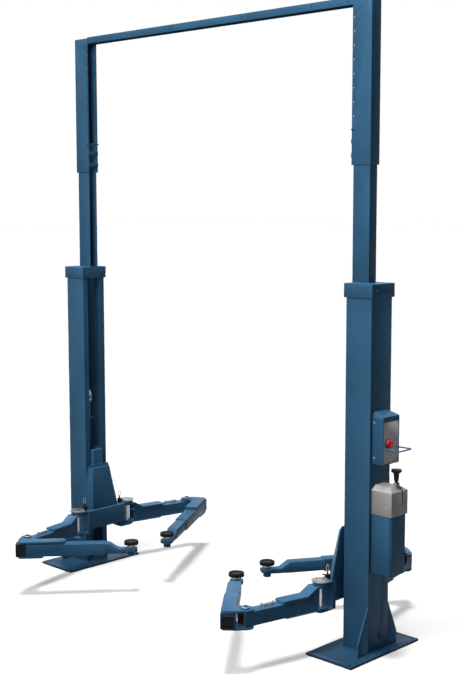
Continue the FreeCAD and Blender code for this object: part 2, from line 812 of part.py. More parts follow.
def arm(side, end):
    """The inner arm, a square tube between a bent plate on top and a flat one below."""
    name = f"{side}_{end}_arm"
    top_end, bottom_end = "arm_root + top_plate_length", "arm_root + bottom_plate_length"
    lug = "arm_root_height - lug_thickness"
    height = ("-1", "arm_root_height + 1")
    plates = [
        extrude(f"{name}_top_form", "XZ_Plane", [
            ("-lug_radius", lug),
            ("-lug_radius", "arm_root_height"),
            ("arm_slope_start", "arm_root_height"),
            ("arm_slope_end", "top_plate_height"),
            (top_end, "top_plate_height"),
            (top_end, BAR_TOP),
            ("arm_slope_end", BAR_TOP),
            ("arm_slope_start", lug),
        ], "2 * lug_radius", middle=True),
        extrude(f"{name}_bottom_form", "XZ_Plane", [
            ("-lug_radius", "0"),
            (bottom_end, "0"),
            (bottom_end, "bar_inset"),
            ("arm_root", "bar_inset"),
            ("arm_root", "lug_thickness"),
            ("-lug_radius", "lug_thickness"),
        ], "2 * lug_radius", middle=True),
    ]
    plan = fuse(f"{name}_plan", [
        round_bar(f"{name}_plan_eye", "lug_radius", height),
        extrude(f"{name}_plan_tube", "XY_Plane", [
            ("0", "-lug_radius"),
            (f"{top_end} - arm_plate_corner", "-lug_radius"),
            (top_end, "arm_plate_corner - lug_radius"),
            (top_end, "lug_radius - arm_plate_corner"),
            (f"{top_end} - arm_plate_corner", "lug_radius"),
            ("0", "lug_radius"),
        ], "arm_root_height + 2", offset="-1"),
    ])
    root = common(f"{name}_root", fuse(f"{name}_plates", plates), plan)
    half = f"({BAR_WIDTH}) / 2"
    gussets = [
        extrude(f"{name}_gusset_{way + 1}", "XZ_Plane", [
            ("arm_root", BAR_TOP),
            ("arm_root", lug),
            ("arm_slope_start", lug),
            ("arm_slope_end", BAR_TOP),
        ], "arm_gusset", offset=f"{way} * ({half} - arm_gusset / 2)", middle=True)
        for way in (-1, 1)
    ]
    bar = block(f"{name}_bar", ("arm_root", "arm_reach + bar_end"), (f"-{half}", half),
                ("bar_inset", BAR_TOP))
    bore = block(f"{name}_bore", ("arm_root - 1", "arm_reach + bar_end + 1"),
                 (f"bar_wall - {half}", f"{half} - bar_wall"),
                 ("bar_inset + bar_wall", f"{BAR_TOP} - bar_wall"))
    eye = round_bar(f"{name}_eye", "pin_radius", height)
    washer = (f"{FORK_TOP} + washer_gap", f"{FORK_TOP} + washer_gap + washer_thickness")
    lower = (f"{FORK_UNDER} - fork_thickness - washer_gap - washer_thickness",
             f"{FORK_UNDER} - fork_thickness - washer_gap")
    elbow = [
        round_bar(f"{name}_elbow_pin", "elbow_radius", (lower[0], washer[1]), "arm_reach"),
        round_bar(f"{name}_elbow_washer", "washer_radius", washer, "arm_reach"),
        round_bar(f"{name}_elbow_head", "bolt_head_radius",
                  (washer[1], f"{washer[1]} + bolt_head_height"), "arm_reach"),
        round_bar(f"{name}_elbow_foot", "washer_radius", lower, "arm_reach"),
    ]
    tube = cut(f"{name}_tube", fuse(f"{name}_blank", [root, bar] + gussets), [bore, eye])
    put(fuse(name, [tube] + elbow), arm_place(side, end), name)


def arm_pin(side, end):
    name = f"{side}_{end}_pin"
    bottom = "-lug_gap - lug_thickness - lug_gap"
    gear_z = f"{LUG_TOP} + gear_rise"
    disc = doc.addObject("PartDesign::Body", f"{name}_gear")
    rim = open_sketch(disc, "XY_Plane", f"{name}_rim", gear_z)
    draw_circle(rim, 0, 0, "gear_radius")
    disc_pad = disc.newObject("PartDesign::Pad", f"{name}_disc")
    disc_pad.Profile = rim
    bind(disc_pad, Length="gear_thickness")
    gap_sketch = open_sketch(disc, "XY_Plane", f"{name}_gap_sketch", gear_z)
    draw_outline(gap_sketch, [
        ("gear_radius - tooth_depth", "-tooth_gap / 4"),
        ("gear_radius + 1", "-tooth_gap / 2"),
        ("gear_radius + 1", "tooth_gap / 2"),
        ("gear_radius - tooth_depth", "tooth_gap / 4"),
    ])
    pocket_ring(disc, f"{name}_gap", gap_sketch, "gear_thickness", "tooth_count")
    slot_sketch = open_sketch(disc, "XY_Plane", f"{name}_slot_sketch", gear_z)
    draw_outline(slot_sketch, [
        ("gear_slot_near", "-gear_slot_width / 2"),
        ("gear_slot_far", "-gear_slot_width / 2"),
        ("gear_slot_far", "gear_slot_width / 2"),
        ("gear_slot_near", "gear_slot_width / 2"),
    ])
    pocket_ring(disc, f"{name}_slot", slot_sketch, "gear_thickness", "gear_slot_count")
    solids = [
        disc,
        round_bar(f"{name}_shank", "pin_radius", (bottom, gear_z)),
        round_bar(f"{name}_hub", "gear_hub_radius", (f"{LUG_TOP} + lug_gap", gear_z)),
        round_bar(f"{name}_foot", "pin_head_radius", (f"{bottom} - pin_head_height", bottom)),
    ]
    put(fuse(name, solids), arm_place(side, end), name)


def fork_plate(name, hand, heights, reach):
    """A plate whose round eye runs smoothly into the width of the forearm's tube."""
    near = f"{hand} * (forearm_offset - forearm_width / 2)"
    far = f"{hand} * (forearm_offset + forearm_width / 2)"
    fillet_y = f"({near} - {hand} * fork_fillet)"
    fillet_x = f"sqrt((fork_radius + fork_fillet)^2 - {fillet_y}^2)"
    flat = extrude(f"{name}_flat", "XY_Plane", [
        ("-fork_radius", "0"),
        ("0", "0"),
        (fillet_x, fillet_y),
        (fillet_x, near),
        (f"{reach} - fork_corner", near),
        (reach, f"{near} + {hand} * fork_corner"),
        (reach, f"{far} - {hand} * fork_corner"),
        (f"{reach} - fork_corner", far),
        ("fork_round - fork_back", far),
        ("-fork_back", f"{far} - {hand} * fork_round"),
        ("-fork_back", near),
    ], f"({heights[1]}) - ({heights[0]})", offset=heights[0])
    round_inside = round_bar(f"{name}_fillet", "fork_fillet",
                             (f"{heights[0]} - 1", f"{heights[1]} + 1"), fillet_x, fillet_y)
    return fuse(name, [
        cut(f"{name}_plate", flat, [round_inside]),
        round_bar(f"{name}_eye", "fork_radius", heights),
        round_bar(f"{name}_round", "fork_round", heights, "fork_round - fork_back",
                  f"{far} - {hand} * fork_round"),
    ])


def forearm(side, end):
    name = f"{side}_{end}_forearm"
    hand = POSTS[side] * ENDS[end]
    axis = f"{hand} * forearm_offset"
    half = "forearm_width / 2"
    low, high = f"{axis} - {half}", f"{axis} + {half}"
    top = f"{FORK_UNDER} + forearm_height"
    tube = block(f"{name}_tube", ("-forearm_back", "forearm_reach"), (low, high),
                 (FORK_UNDER, top))
    bore = block(f"{name}_bore", ("-forearm_back - 1", "forearm_reach + 1"),
                 (f"{low} + forearm_wall", f"{high} - forearm_wall"),
                 (f"{FORK_UNDER} + forearm_wall", f"{top} - forearm_wall"))
    packer = block(f"{name}_packer", ("-fork_back", "fork_reach"),
                   (f"{axis} - packer_width / 2", f"{axis} + packer_width / 2"),
                   (top, FORK_OVER))
    solids = [cut(f"{name}_hollow_tube", tube, [bore]), packer]
    levels = {
        "upper": ((FORK_OVER, FORK_TOP), "fork_reach"),
        "lower": ((f"{FORK_UNDER} - fork_thickness", FORK_UNDER), "lower_fork_reach"),
    }
    for level, (heights, reach) in levels.items():
        solids.append(fork_plate(f"{name}_{level}_fork", hand, heights, reach))
    hole = round_bar(f"{name}_hole", "elbow_radius + elbow_fit",
                     (f"{FORK_UNDER} - fork_thickness - 1", f"{FORK_TOP} + 1"))
    put(cut(name, fuse(f"{name}_frame", solids), [hole]), elbow_place(side, end), name)


def extension(side, end):
    name = f"{side}_{end}_extension"
    axis = f"{POSTS[side] * ENDS[end]} * forearm_offset"
    reach = f"{end}_reach"
    half = "(forearm_width / 2 - forearm_wall - extension_fit)"
    start = f"{reach} - extension_inner_end"
    profile = extrude(f"{name}_profile", "XZ_Plane", [
        (start, EXTENSION_BOTTOM),
        (reach, EXTENSION_BOTTOM),
        (reach, TONGUE_TOP),
        (f"{reach} - extension_slope_end", TONGUE_TOP),
        (f"{reach} - extension_slope_start", EXTENSION_TOP),
        (start, EXTENSION_TOP),
    ], f"2 * {half}", middle=True)
    plan = extrude(f"{name}_plan", "XY_Plane", [
        (start, f"-{half}"),
        (f"{reach} - extension_slope_start", f"-{half}"),
        (f"{reach} - holder_radius", "-tongue_width / 2"),
        (reach, "-tongue_width / 2"),
        (reach, "tongue_width / 2"),
        (f"{reach} - holder_radius", "tongue_width / 2"),
        (f"{reach} - extension_slope_start", half),
        (start, half),
    ], "forearm_height + fork_gap")
    form = common(f"{name}_form", profile, plan)
    bore = block(f"{name}_bore", (f"{start} - 1", f"{reach} - extension_slope_start"),
                 (f"extension_wall - {half}", f"{half} - extension_wall"),
                 (f"{EXTENSION_BOTTOM} + extension_wall", f"{EXTENSION_TOP} - extension_wall"))
    holder = round_bar(f"{name}_holder", "holder_radius",
                       (f"{EXTENSION_BOTTOM} - holder_drop", TONGUE_TOP), reach)
    near, far = f"{reach} - holder_half", f"{reach} + holder_half"
    edge = "holder_half - holder_corner"
    plate = extrude(f"{name}_plate", "XY_Plane", [
        (near, f"-({edge})"),
        (f"{near} + holder_corner", "-holder_half"),
        (f"{far} - holder_corner", "-holder_half"),
        (far, f"-({edge})"),
        (far, edge),
        (f"{far} - holder_corner", "holder_half"),
        (f"{near} + holder_corner", "holder_half"),
        (near, edge),
    ], "holder_thickness", offset=f"{TONGUE_TOP} - holder_thickness")
    hole = round_bar(f"{name}_thread", "spindle_radius + spindle_fit",
                     (f"{EXTENSION_BOTTOM} - holder_drop - 1", f"{TONGUE_TOP} + 1"), reach)
    blank = cut(f"{name}_blank", form, [bore])
    item = cut(name, fuse(f"{name}_frame", [blank, plate, holder]), [hole])
    x, y, heading = elbow_place(side, end)
    shift_x = f"{x} - {axis} * sin({heading})"
    shift_y = f"{y} + {axis} * cos({heading})"
    put(item, (shift_x, shift_y, heading), name)


def pad_place(side, end):
    """Centre of a pad, on its extension's axis."""
    x, y, heading = elbow_place(side, end)
    axis = f"{POSTS[side] * ENDS[end]} * forearm_offset"
    reach = f"{end}_reach"
    return (f"{x} + {reach} * cos({heading}) - {axis} * sin({heading})",
            f"{y} + {reach} * sin({heading}) + {axis} * cos({heading})", heading)


def pad_screw(side, end):
    name = f"{side}_{end}_pad_screw"
    nut = (f"{TONGUE_TOP} + nut_gap", f"{TONGUE_TOP} + nut_gap + nut_height")
    solids = [
        round_bar(f"{name}_thread", "spindle_radius",
                  (f"{EXTENSION_BOTTOM} - spindle_drop", nut[0])),
        round_bar(f"{name}_nut", "nut_radius", nut),
        round_bar(f"{name}_neck", "neck_radius", (nut[1], PAD_BOTTOM)),
    ]
    put(fuse(name, solids), pad_place(side, end), name)


def pad(side, end):
    name = f"{side}_{end}_pad"
    disc = doc.addObject("PartDesign::Body", f"{name}_disc")
    rim = open_sketch(disc, "XY_Plane", f"{name}_rim", PAD_BOTTOM)
    draw_circle(rim, 0, 0, "pad_radius")
    disc_pad = disc.newObject("PartDesign::Pad", f"{name}_block")
    disc_pad.Profile = rim
    bind(disc_pad, Length="pad_thickness")
    dish_sketch = open_sketch(disc, "XY_Plane", f"{name}_dish_sketch",
                              f"{PAD_BOTTOM} + pad_thickness")
    draw_circle(dish_sketch, 0, 0, "pad_dish_radius")
    dish = disc.newObject("PartDesign::Pocket", f"{name}_dish")
    dish.Profile = dish_sketch
    bind(dish, Length="pad_dish_depth")
    groove_sketch = open_sketch(disc, "XY_Plane", f"{name}_groove_sketch", PAD_BOTTOM)
    draw_circle(groove_sketch, "pad_radius", 0, "pad_rib_radius")
    pocket_ring(disc, f"{name}_groove", groove_sketch, "pad_thickness", "pad_rib_count")
    put(disc, pad_place(side, end), name)


def on_control_post(item, label, x=0, y=0, z=0):
    """Place a sub-part drawn from the right column's outer face, with +X outwards."""
    return keep(move(item, f"{post_x('right')} + column_width / 2 + ({x})", y, z), label)


def control_box():
    half = "box_width / 2"
    rim, floor = f"({half} - panel_rim)", "box_depth - panel_recess"
    side = extrude("control_box_side", "XZ_Plane", [
        ("0", "0"),
        ("box_depth", "0"),
        ("box_depth", "box_front_height"),
        ("0", "box_back_height"),
    ], "box_width", middle=True)
    front = extrude("control_box_front", "YZ_Plane", mirrored([
        (f"-{half}", "0"),
        (f"-{half}", "box_back_height - 2 * box_chamfer"),
        (f"box_chamfer - {half}", "box_back_height"),
    ]), "box_depth")
    recess = block("control_box_recess", (floor, "box_depth + 1"), (f"-{rim}", rim),
                   ("panel_rim", "box_front_height - 2 * box_chamfer"))
    seat = cross_bar("control_box_seat", "switch_seat_radius", "switch_seat + panel_recess", floor,
                     "switch_across", "switch_up", "x")
    body = cut("control_box_form", common("control_box_block", side, front), [recess])
    start = "box_depth - shaft_depth - shaft_fit"
    hole = cross_bar("control_box_hole", "shaft_radius + shaft_fit",
                     f"box_depth + switch_seat + 1 - ({start})", start,
                     "switch_across", "switch_up", "x")
    item = cut("control_box", fuse("control_box_case", [body, seat]), [hole])
    on_control_post(item, "control_box", z="box_bottom")


def control_panel():
    """The plastic front of the control box, with room for the switch and its guard."""
    half = "(box_width / 2 - panel_rim - panel_fit)"
    bottom, top = "panel_rim + panel_fit", "box_front_height - 2 * box_chamfer - panel_fit"
    rod = "guard_rod_radius + panel_fit"
    plate = extrude("control_panel", "YZ_Plane", [
        (f"-{half}", bottom),
        (half, bottom),
        (half, top),
        (f"-{half}", top),
    ], "panel_thickness", holes=[
        ("switch_across", "switch_up", "switch_seat_radius + panel_fit"),
        ("guard_rod_near", "guard_rod_up", rod),
        ("guard_rod_far", "guard_rod_up", rod),
    ])
    on_control_post(plate, "control_panel", "box_depth - panel_recess", 0, "box_bottom")


def main_switch():
    """The knob of the main switch, with its shaft in the control box."""
    start = "box_depth + switch_seat + shaft_fit"
    disc = cross_bar("main_switch_disc", "switch_radius", "switch_thickness", start, 0, 0, "x")
    grip = block("main_switch_grip",
                 (start, f"{start} + switch_thickness + switch_grip_rise"),
                 ("-switch_grip / 2", "switch_grip / 2"), ("-switch_radius", "switch_radius"))
    shaft = cross_bar("main_switch_shaft", "shaft_radius",
                      "shaft_depth + switch_seat + shaft_fit", "box_depth - shaft_depth", 0, 0, "x")
    item = fuse("main_switch", [disc, grip, shaft])
    on_control_post(item, "main_switch", 0, "switch_across", "box_bottom + switch_up")


def switch_guard():
    """A rod bent to a loop that stands out from the control box."""
    near, far = "guard_rod_near", "guard_rod_far"
    out = "guard_rod_out - guard_rod_bend"
    rods = [
        cross_bar("switch_guard_near", "guard_rod_radius", f"{out} + panel_recess",
                  "-panel_recess", near, 0, "x"),
        cross_bar("switch_guard_far", "guard_rod_radius", f"{out} + panel_recess",
                  "-panel_recess", far, 0, "x"),
        cross_bar("switch_guard_front", "guard_rod_radius",
                  f"{far} - {near} - 2 * guard_rod_bend", "guard_rod_out",
                  f"{near} + guard_rod_bend", 0, "y"),
    ]
    for label, y, start in (("near", f"{near} + guard_rod_bend", -90),
                            ("far", f"{far} - guard_rod_bend", 0)):
        bend = doc.addObject("Part::Torus", f"switch_guard_{label}_bend")
        bind(bend, Radius1="guard_rod_bend", Radius2="guard_rod_radius")
        bend.Angle3 = 90
        rods.append(move(bend, out, y, 0, start))
    item = fuse("switch_guard", rods)
    on_control_post(item, "switch_guard", "box_depth", 0, "box_bottom + guard_rod_up")


def power_unit():
    half = "unit_width / 2"
    case = extrude("power_unit_case", "XY_Plane", [
        ("0", f"-{half}"),
        ("unit_depth - unit_chamfer", f"-{half}"),
        ("unit_depth", f"unit_chamfer - {half}"),
        ("unit_depth", f"{half} - unit_chamfer"),
        ("unit_depth - unit_chamfer", half),
        ("0", half),
    ], "unit_height")
    on_control_post(case, "power_unit_cover", z="unit_bottom")


def power_unit_hood():
    """The plastic hood over the pump, with a hipped top and a slot in its front."""
    half, depth = "(unit_width / 2 + hood_overlap)", "(unit_depth + hood_overlap)"
    top = "hood_height + hood_crown"
    across = extrude("power_unit_hood_front", "YZ_Plane", mirrored([
        (f"-{half}", "0"),
        (f"-{half}", "hood_height"),
        (f"hood_crown_inset - {half}", top),
    ]), depth)
    along = extrude("power_unit_hood_side", "XZ_Plane", [
        ("0", "0"),
        (depth, "0"),
        (depth, "hood_height"),
        (f"{depth} - hood_crown_inset", top),
        ("0", top),
    ], f"2 * {half}", middle=True)
    form = common("power_unit_hood_form", across, along)
    slot = extrude("power_unit_hood_slot", "XZ_Plane", [
        (f"{depth} + 1", "hood_slot_up"),
        (f"{depth} - hood_slot_depth", "hood_slot_up"),
        (f"{depth} - hood_slot_depth", "hood_height - hood_slot_depth / 2"),
        (f"{depth} - hood_crown_inset", f"{top} - hood_slot_depth"),
        (f"{depth} - hood_crown_inset", f"{top} + 1"),
        (f"{depth} + 1", f"{top} + 1"),
    ], "hood_slot_width", offset="-hood_slot_across", middle=True)
    ears = []
    for way in (-1, 1):
        inside = "lever_boss_width / 2 + ear_gap"
        low, high = outwards(way, inside, f"{inside} + ear_thickness")
        span = (f"lever_across + {low}", f"lever_across + {high}")
        ears.append(block(f"power_unit_hood_ear_{way + 1}",
                          ("lever_out - ear_width / 2", "lever_out + ear_width / 2"), span,
                          ("hood_height - ear_height", f"{top} + ear_height")))
    ear_shaft = cross_bar("power_unit_hood_shaft", "shaft_radius",
                          "lever_boss_width + 2 * ear_gap + 2 * ear_thickness", "lever_out",
                          "lever_across - lever_boss_width / 2 - ear_gap - ear_thickness",
                          f"{top} + ear_height / 2", "y")
    item = fuse("power_unit_hood", [cut("power_unit_hood_case", form, [slot])] + ears + [ear_shaft])
    on_control_post(item, "power_unit_hood", z="unit_bottom + unit_height")


def motor_end():
    """The motor's domed end on the far side of the power unit."""
    drum = cross_bar("motor_end_drum", "motor_radius", "motor_length - motor_dome", 0, 0, 0, "y")
    dome = doc.addObject("Part::Ellipsoid", "motor_end_dome")
    bind(dome, Radius1="motor_dome", Radius2="motor_radius", Radius3="motor_radius", Angle1=0)
    dome.Placement.Rotation = FreeCAD.Rotation(FreeCAD.Vector(0, 0, 1), FreeCAD.Vector(0, 1, 0))
    dome.setExpression("Placement.Base.y", formula("motor_length - motor_dome"))
    on_control_post(fuse("motor_end", [drum, dome]), "motor_end", "motor_out",
                    "unit_width / 2", "unit_bottom + motor_up")


def tank_bottom():
    """The rounded bottom of the oil tank, which hangs out of the cover."""
    bowl = doc.addObject("Part::Ellipsoid", "tank_bottom")
    bind(bowl, Radius1="tank_drop", Radius2="tank_radius", Radius3="tank_radius", Angle2=0)
    on_control_post(bowl, "tank_bottom", "tank_out", 0, "unit_bottom")


def lowering_lever():
    """The hand lever that lets the oil back, upright on its shaft."""
    boss = cross_bar("lowering_lever_boss", "lever_boss_radius", "lever_boss_width", 0,
                     "-lever_boss_width / 2", 0, "y")
    stem = doc.addObject("Part::Cone", "lowering_lever_stem")
    bind(stem, Radius1="lever_foot_radius", Radius2="lever_tip_radius",
         Height="lever_length - lever_foot")
    move(stem, 0, 0, "lever_foot")
    cone = doc.addObject("Part::Cone", "lowering_lever_cone")
    bind(cone, Radius1="lever_tip_radius", Radius2="lever_knob_radius",
         Height="lever_cone_height")
    move(cone, 0, 0, "lever_length")
    foot = block("lowering_lever_foot", ("-lever_boss_radius", "lever_boss_radius"),
                 ("-lever_boss_width / 2", "lever_boss_width / 2"), ("0", "lever_foot + 1"))
    rim_z = "lever_length + lever_cone_height"
    rim = round_bar("lowering_lever_rim", "lever_knob_radius",
                    (rim_z, f"{rim_z} + lever_rim_height"))
    hole = cross_bar("lowering_lever_hole", "shaft_radius + shaft_fit", "lever_boss_width + 2", 0,
                     "-lever_boss_width / 2 - 1", 0, "y")
    item = cut("lowering_lever", fuse("lowering_lever_form", [boss, foot, stem, cone, rim]), [hole])
    on_control_post(item, "lowering_lever", "lever_out", "lever_across",
                    "unit_bottom + unit_height + hood_height + hood_crown + ear_height / 2")


def check():
    """Stop if any feature failed or a sub-part has no valid shape."""
    for item in doc.Objects:
        if "Invalid" in item.State or "Error" in item.State:
            raise RuntimeError(f"{item.Name} failed: {item.State}")
    for item in parts:
        if item.Shape.isNull() or not item.Shape.isValid() or not item.Shape.Solids:
            raise RuntimeError(f"{item.Label} has no valid shape")


for side in POSTS:
    base_plate(side)
    column(side)
    collar(side)
    riser(side)
    upper_sleeve(side)
    lift_cylinder(side)
    cylinder_rod(side)
    carriage(side)
    slide_blocks(side)
    carriage_guard(side)
    arm_locks(side)
    for end in ENDS:
        arm(side, end)
        arm_pin(side, end)
        forearm(side, end)
        extension(side, end)
        pad_screw(side, end)
        pad(side, end)
INNER_FACE = "post_spacing / 2 - riser_shift - sleeve_width / 2"
beam_part("long_beam", f"bay_centre - ({INNER_FACE})", "bay_centre + beam_joint")
beam_part("short_beam", "bay_centre + beam_joint", f"bay_centre + {INNER_FACE}")
control_box()
control_panel()
main_switch()
switch_guard()
power_unit()
power_unit_hood()
motor_end()
tank_bottom()
lowering_lever()

doc.recompute()
check()
os.makedirs("parts", exist_ok=True)
for part in parts:
    part.Shape.exportStep(os.path.join("parts", f"{part.Label}.step"))
print(len(parts), "sub-parts written")
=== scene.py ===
import json
import math

import bmesh
import bpy
from mathutils import Matrix, Vector


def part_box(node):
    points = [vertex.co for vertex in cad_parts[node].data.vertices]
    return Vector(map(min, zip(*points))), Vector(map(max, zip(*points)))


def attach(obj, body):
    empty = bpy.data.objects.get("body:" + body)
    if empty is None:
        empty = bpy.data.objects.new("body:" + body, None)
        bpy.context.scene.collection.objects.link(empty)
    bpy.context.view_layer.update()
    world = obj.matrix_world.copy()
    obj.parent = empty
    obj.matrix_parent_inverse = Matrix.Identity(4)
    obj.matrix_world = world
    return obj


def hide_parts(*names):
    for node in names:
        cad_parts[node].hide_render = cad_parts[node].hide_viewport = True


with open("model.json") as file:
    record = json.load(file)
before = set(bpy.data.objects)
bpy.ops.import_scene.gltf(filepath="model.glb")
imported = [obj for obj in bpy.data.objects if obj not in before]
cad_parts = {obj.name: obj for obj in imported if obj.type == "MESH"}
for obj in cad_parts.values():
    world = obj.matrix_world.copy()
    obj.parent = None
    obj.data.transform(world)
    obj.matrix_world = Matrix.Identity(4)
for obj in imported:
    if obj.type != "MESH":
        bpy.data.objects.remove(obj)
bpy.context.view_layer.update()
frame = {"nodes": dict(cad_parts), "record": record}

# Two post car lift in a bright studio, in metres.
# X runs along the two posts, the front is -Y and Z points up.

SIDES = {"left": 1, "right": -1}
ENDS = {"front": -1, "rear": 1}
BODY_OF = {label: body for body, labels in frame["record"]["behaviour"]["bodies"].items()
           for label in labels}
SLOT_OF = {part["node"]: part["material_slot"] for part in frame["record"]["subparts"]}

# Materials

PAINT = (0.032, 0.101, 0.184)
PAINT_SHEEN = (0.3, 0.62, 1.0)
SCUFFED_PAINT = (0.12, 0.2, 0.28)
# Painted shade near the floor: the heights where it starts and ends, and how dark it gets.
FLOOR_SHADE_BOTTOM, FLOOR_SHADE_TOP = 0.0172, 0.045
FLOOR_SHADE_SHARE = 0.45
DUST = (0.04, 0.039, 0.038)


def start_material(name, color, roughness, metallic=0.0, specular=0.5, sheen=(1, 1, 1)):
    """A material with one Principled shader; its steady values sit on the shader."""
    material = bpy.data.materials.new(name)
    material.use_nodes = True
    shader = material.node_tree.nodes["Principled BSDF"]
    shader.inputs["Base Color"].default_value = (*color, 1)
    shader.inputs["Roughness"].default_value = roughness
    shader.inputs["Metallic"].default_value = metallic
    shader.inputs["Specular IOR Level"].default_value = specular
    shader.inputs["Specular Tint"].default_value = (*sheen, 1)
    return material, shader


def noise(material, scale, detail=3.0, stretch=(1, 1, 1)):
    """A noise pattern fixed to the object, as a factor of about 0.3 to 0.7."""
    nodes, links = material.node_tree.nodes, material.node_tree.links
    place = nodes.new("ShaderNodeTexCoord")
    mapping = nodes.new("ShaderNodeMapping")
    mapping.inputs["Scale"].default_value = stretch
    pattern = nodes.new("ShaderNodeTexNoise")
    pattern.inputs["Scale"].default_value = scale
    pattern.inputs["Detail"].default_value = detail
    links.new(place.outputs["Object"], mapping.inputs["Vector"])
    links.new(mapping.outputs["Vector"], pattern.inputs["Vector"])
    return pattern.outputs["Fac"]


def spread(material, factor, low, high, to_low=0.0, to_high=1.0):
    """Rescale a factor, clamped."""
    rescale = material.node_tree.nodes.new("ShaderNodeMapRange")
    for index, value in enumerate((low, high, to_low, to_high), start=1):
        rescale.inputs[index].default_value = value
    material.node_tree.links.new(factor, rescale.inputs[0])
    return rescale.outputs[0]


def blend_colors(material, factor, first, second):
    """Mix two colours, each a plain colour or another socket."""
    nodes, links = material.node_tree.nodes, material.node_tree.links
    mix = nodes.new("ShaderNodeMix")
    mix.data_type = "RGBA"
    links.new(factor, mix.inputs["Factor"])
    for socket, color in ((mix.inputs[6], first), (mix.inputs[7], second)):
        if isinstance(color, tuple):
            socket.default_value = (*color, 1)
        else:
            links.new(color, socket)
    return mix.outputs[2]


def roughen(material, shader, height, distance, strength):
    """Turn a factor into small relief on the surface."""
    bump = material.node_tree.nodes.new("ShaderNodeBump")
    bump.inputs["Strength"].default_value = strength
    bump.inputs["Distance"].default_value = distance
    material.node_tree.links.new(height, bump.inputs["Height"])
    material.node_tree.links.new(bump.outputs["Normal"], shader.inputs["Normal"])


def object_height(material):
    """The height of a point above the floor, in metres."""
    nodes, links = material.node_tree.nodes, material.node_tree.links
    place = nodes.new("ShaderNodeTexCoord")
    axes = nodes.new("ShaderNodeSeparateXYZ")
    links.new(place.outputs["Object"], axes.inputs[0])
    return axes.outputs["Z"]


def tint(color, share):
    return tuple(channel * share for channel in color)


def powder_paint(name, color, floor_shade_top=None):
    """Baked powder paint: soft mottling, fine orange peel and scuffs; with a top height given,
    painted shade darkens it towards the floor.
    """
    material, shader = start_material(name, color, roughness=0.4, specular=0.06,
                                      sheen=PAINT_SHEEN)
    links = material.node_tree.links
    patches = spread(material, noise(material, scale=2.4, detail=5), 0.35, 0.65)
    mottled = blend_colors(material, patches, tint(color, 0.9), tint(color, 1.1))
    streaks = noise(material, scale=26, detail=8, stretch=(1, 1, 0.35))
    scuffs = spread(material, streaks, 0.655, 0.7, to_high=0.22)
    worn_and_shaded = blend_colors(material, scuffs, mottled, SCUFFED_PAINT)
    # Painted shade: the colour darkens towards the floor, standing in for the shadow there.
    if floor_shade_top:
        unshaded = spread(material, object_height(material), FLOOR_SHADE_BOTTOM, floor_shade_top)
        worn_and_shaded = blend_colors(material, unshaded, tint(color, FLOOR_SHADE_SHARE), worn_and_shaded)
    links.new(worn_and_shaded, shader.inputs["Base Color"])
    gloss = spread(material, noise(material, scale=9, detail=4), 0.3, 0.7, 0.34, 0.47)
    links.new(gloss, shader.inputs["Roughness"])
    roughen(material, shader, noise(material, scale=420, detail=2), distance=0.0002,
            strength=0.35)
    return material


def brushed_metal(name, color, roughness, lines=(1, 1, 12)):
    """Turned or drawn steel with fine lines and slight stains."""
    material, shader = start_material(name, color, roughness, metallic=1.0)
    links = material.node_tree.links
    stains = spread(material, noise(material, scale=30, detail=6), 0.4, 0.7)
    links.new(blend_colors(material, stains, color, tint(color, 0.72)),
              shader.inputs["Base Color"])
    streaks = noise(material, scale=260, detail=2, stretch=lines)
    links.new(spread(material, streaks, 0.3, 0.7, roughness - 0.08, roughness + 0.12),
              shader.inputs["Roughness"])
    roughen(material, shader, streaks, distance=0.0001, strength=0.4)
    return material


def moulded_plastic(name, color, roughness, specular=0.2):
    """Injection moulded plastic with a fine spark grain."""
    material, shader = start_material(name, color, roughness, specular=specular)
    links = material.node_tree.links
    patches = spread(material, noise(material, scale=14), 0.35, 0.65)
    links.new(blend_colors(material, patches, tint(color, 0.94), tint(color, 1.05)),
              shader.inputs["Base Color"])
    links.new(spread(material, noise(material, scale=40, detail=4), 0.3, 0.7, roughness - 0.05,
                     roughness + 0.07), shader.inputs["Roughness"])
    roughen(material, shader, noise(material, scale=700, detail=2), distance=0.00015,
            strength=0.4)
    return material


def moulded_rubber(name, color):
    """Dull black rubber, a little dusty on what faces up."""
    material, shader = start_material(name, color, roughness=0.6, specular=0.12)
    nodes, links = material.node_tree.nodes, material.node_tree.links
    normal = nodes.new("ShaderNodeNewGeometry")
    axes = nodes.new("ShaderNodeSeparateXYZ")
    links.new(normal.outputs["Normal"], axes.inputs[0])
    upward = spread(material, axes.outputs["Z"], 0.6, 1.0, to_high=0.3)
    dust = nodes.new("ShaderNodeMath")
    dust.operation = "MULTIPLY"
    links.new(upward, dust.inputs[0])
    links.new(spread(material, noise(material, scale=90, detail=6), 0.4, 0.65), dust.inputs[1])
    links.new(blend_colors(material, dust.outputs[0], color, DUST), shader.inputs["Base Color"])
    links.new(spread(material, noise(material, scale=60), 0.3, 0.7, 0.5, 0.72),
              shader.inputs["Roughness"])
    roughen(material, shader, noise(material, scale=900), distance=0.0003, strength=0.5)
    return material


FINISHES = {
    "blue_paint": powder_paint("blue_powder_paint", PAINT),
    "bare_steel": brushed_metal("zinc_plated_steel", (0.4, 0.41, 0.42), 0.34),
    "grey_plastic": moulded_plastic("grey_housing_plastic", (0.30, 0.295, 0.285), 0.42),
    "black_plastic": moulded_plastic("black_plastic", (0.005, 0.005, 0.0055), 0.42, specular=0.1),
    "white_plastic": moulded_plastic("slide_block_nylon", (0.70, 0.68, 0.62), 0.5),
    "red_plastic": moulded_plastic("red_switch_plastic", (0.62, 0.012, 0.012), 0.3),
    "black_rubber": moulded_rubber("pad_rubber", (0.006, 0.006, 0.006)),
}
GALVANISED = brushed_metal("galvanised_fasteners", (0.42, 0.43, 0.44), 0.4, lines=(1, 1, 1))
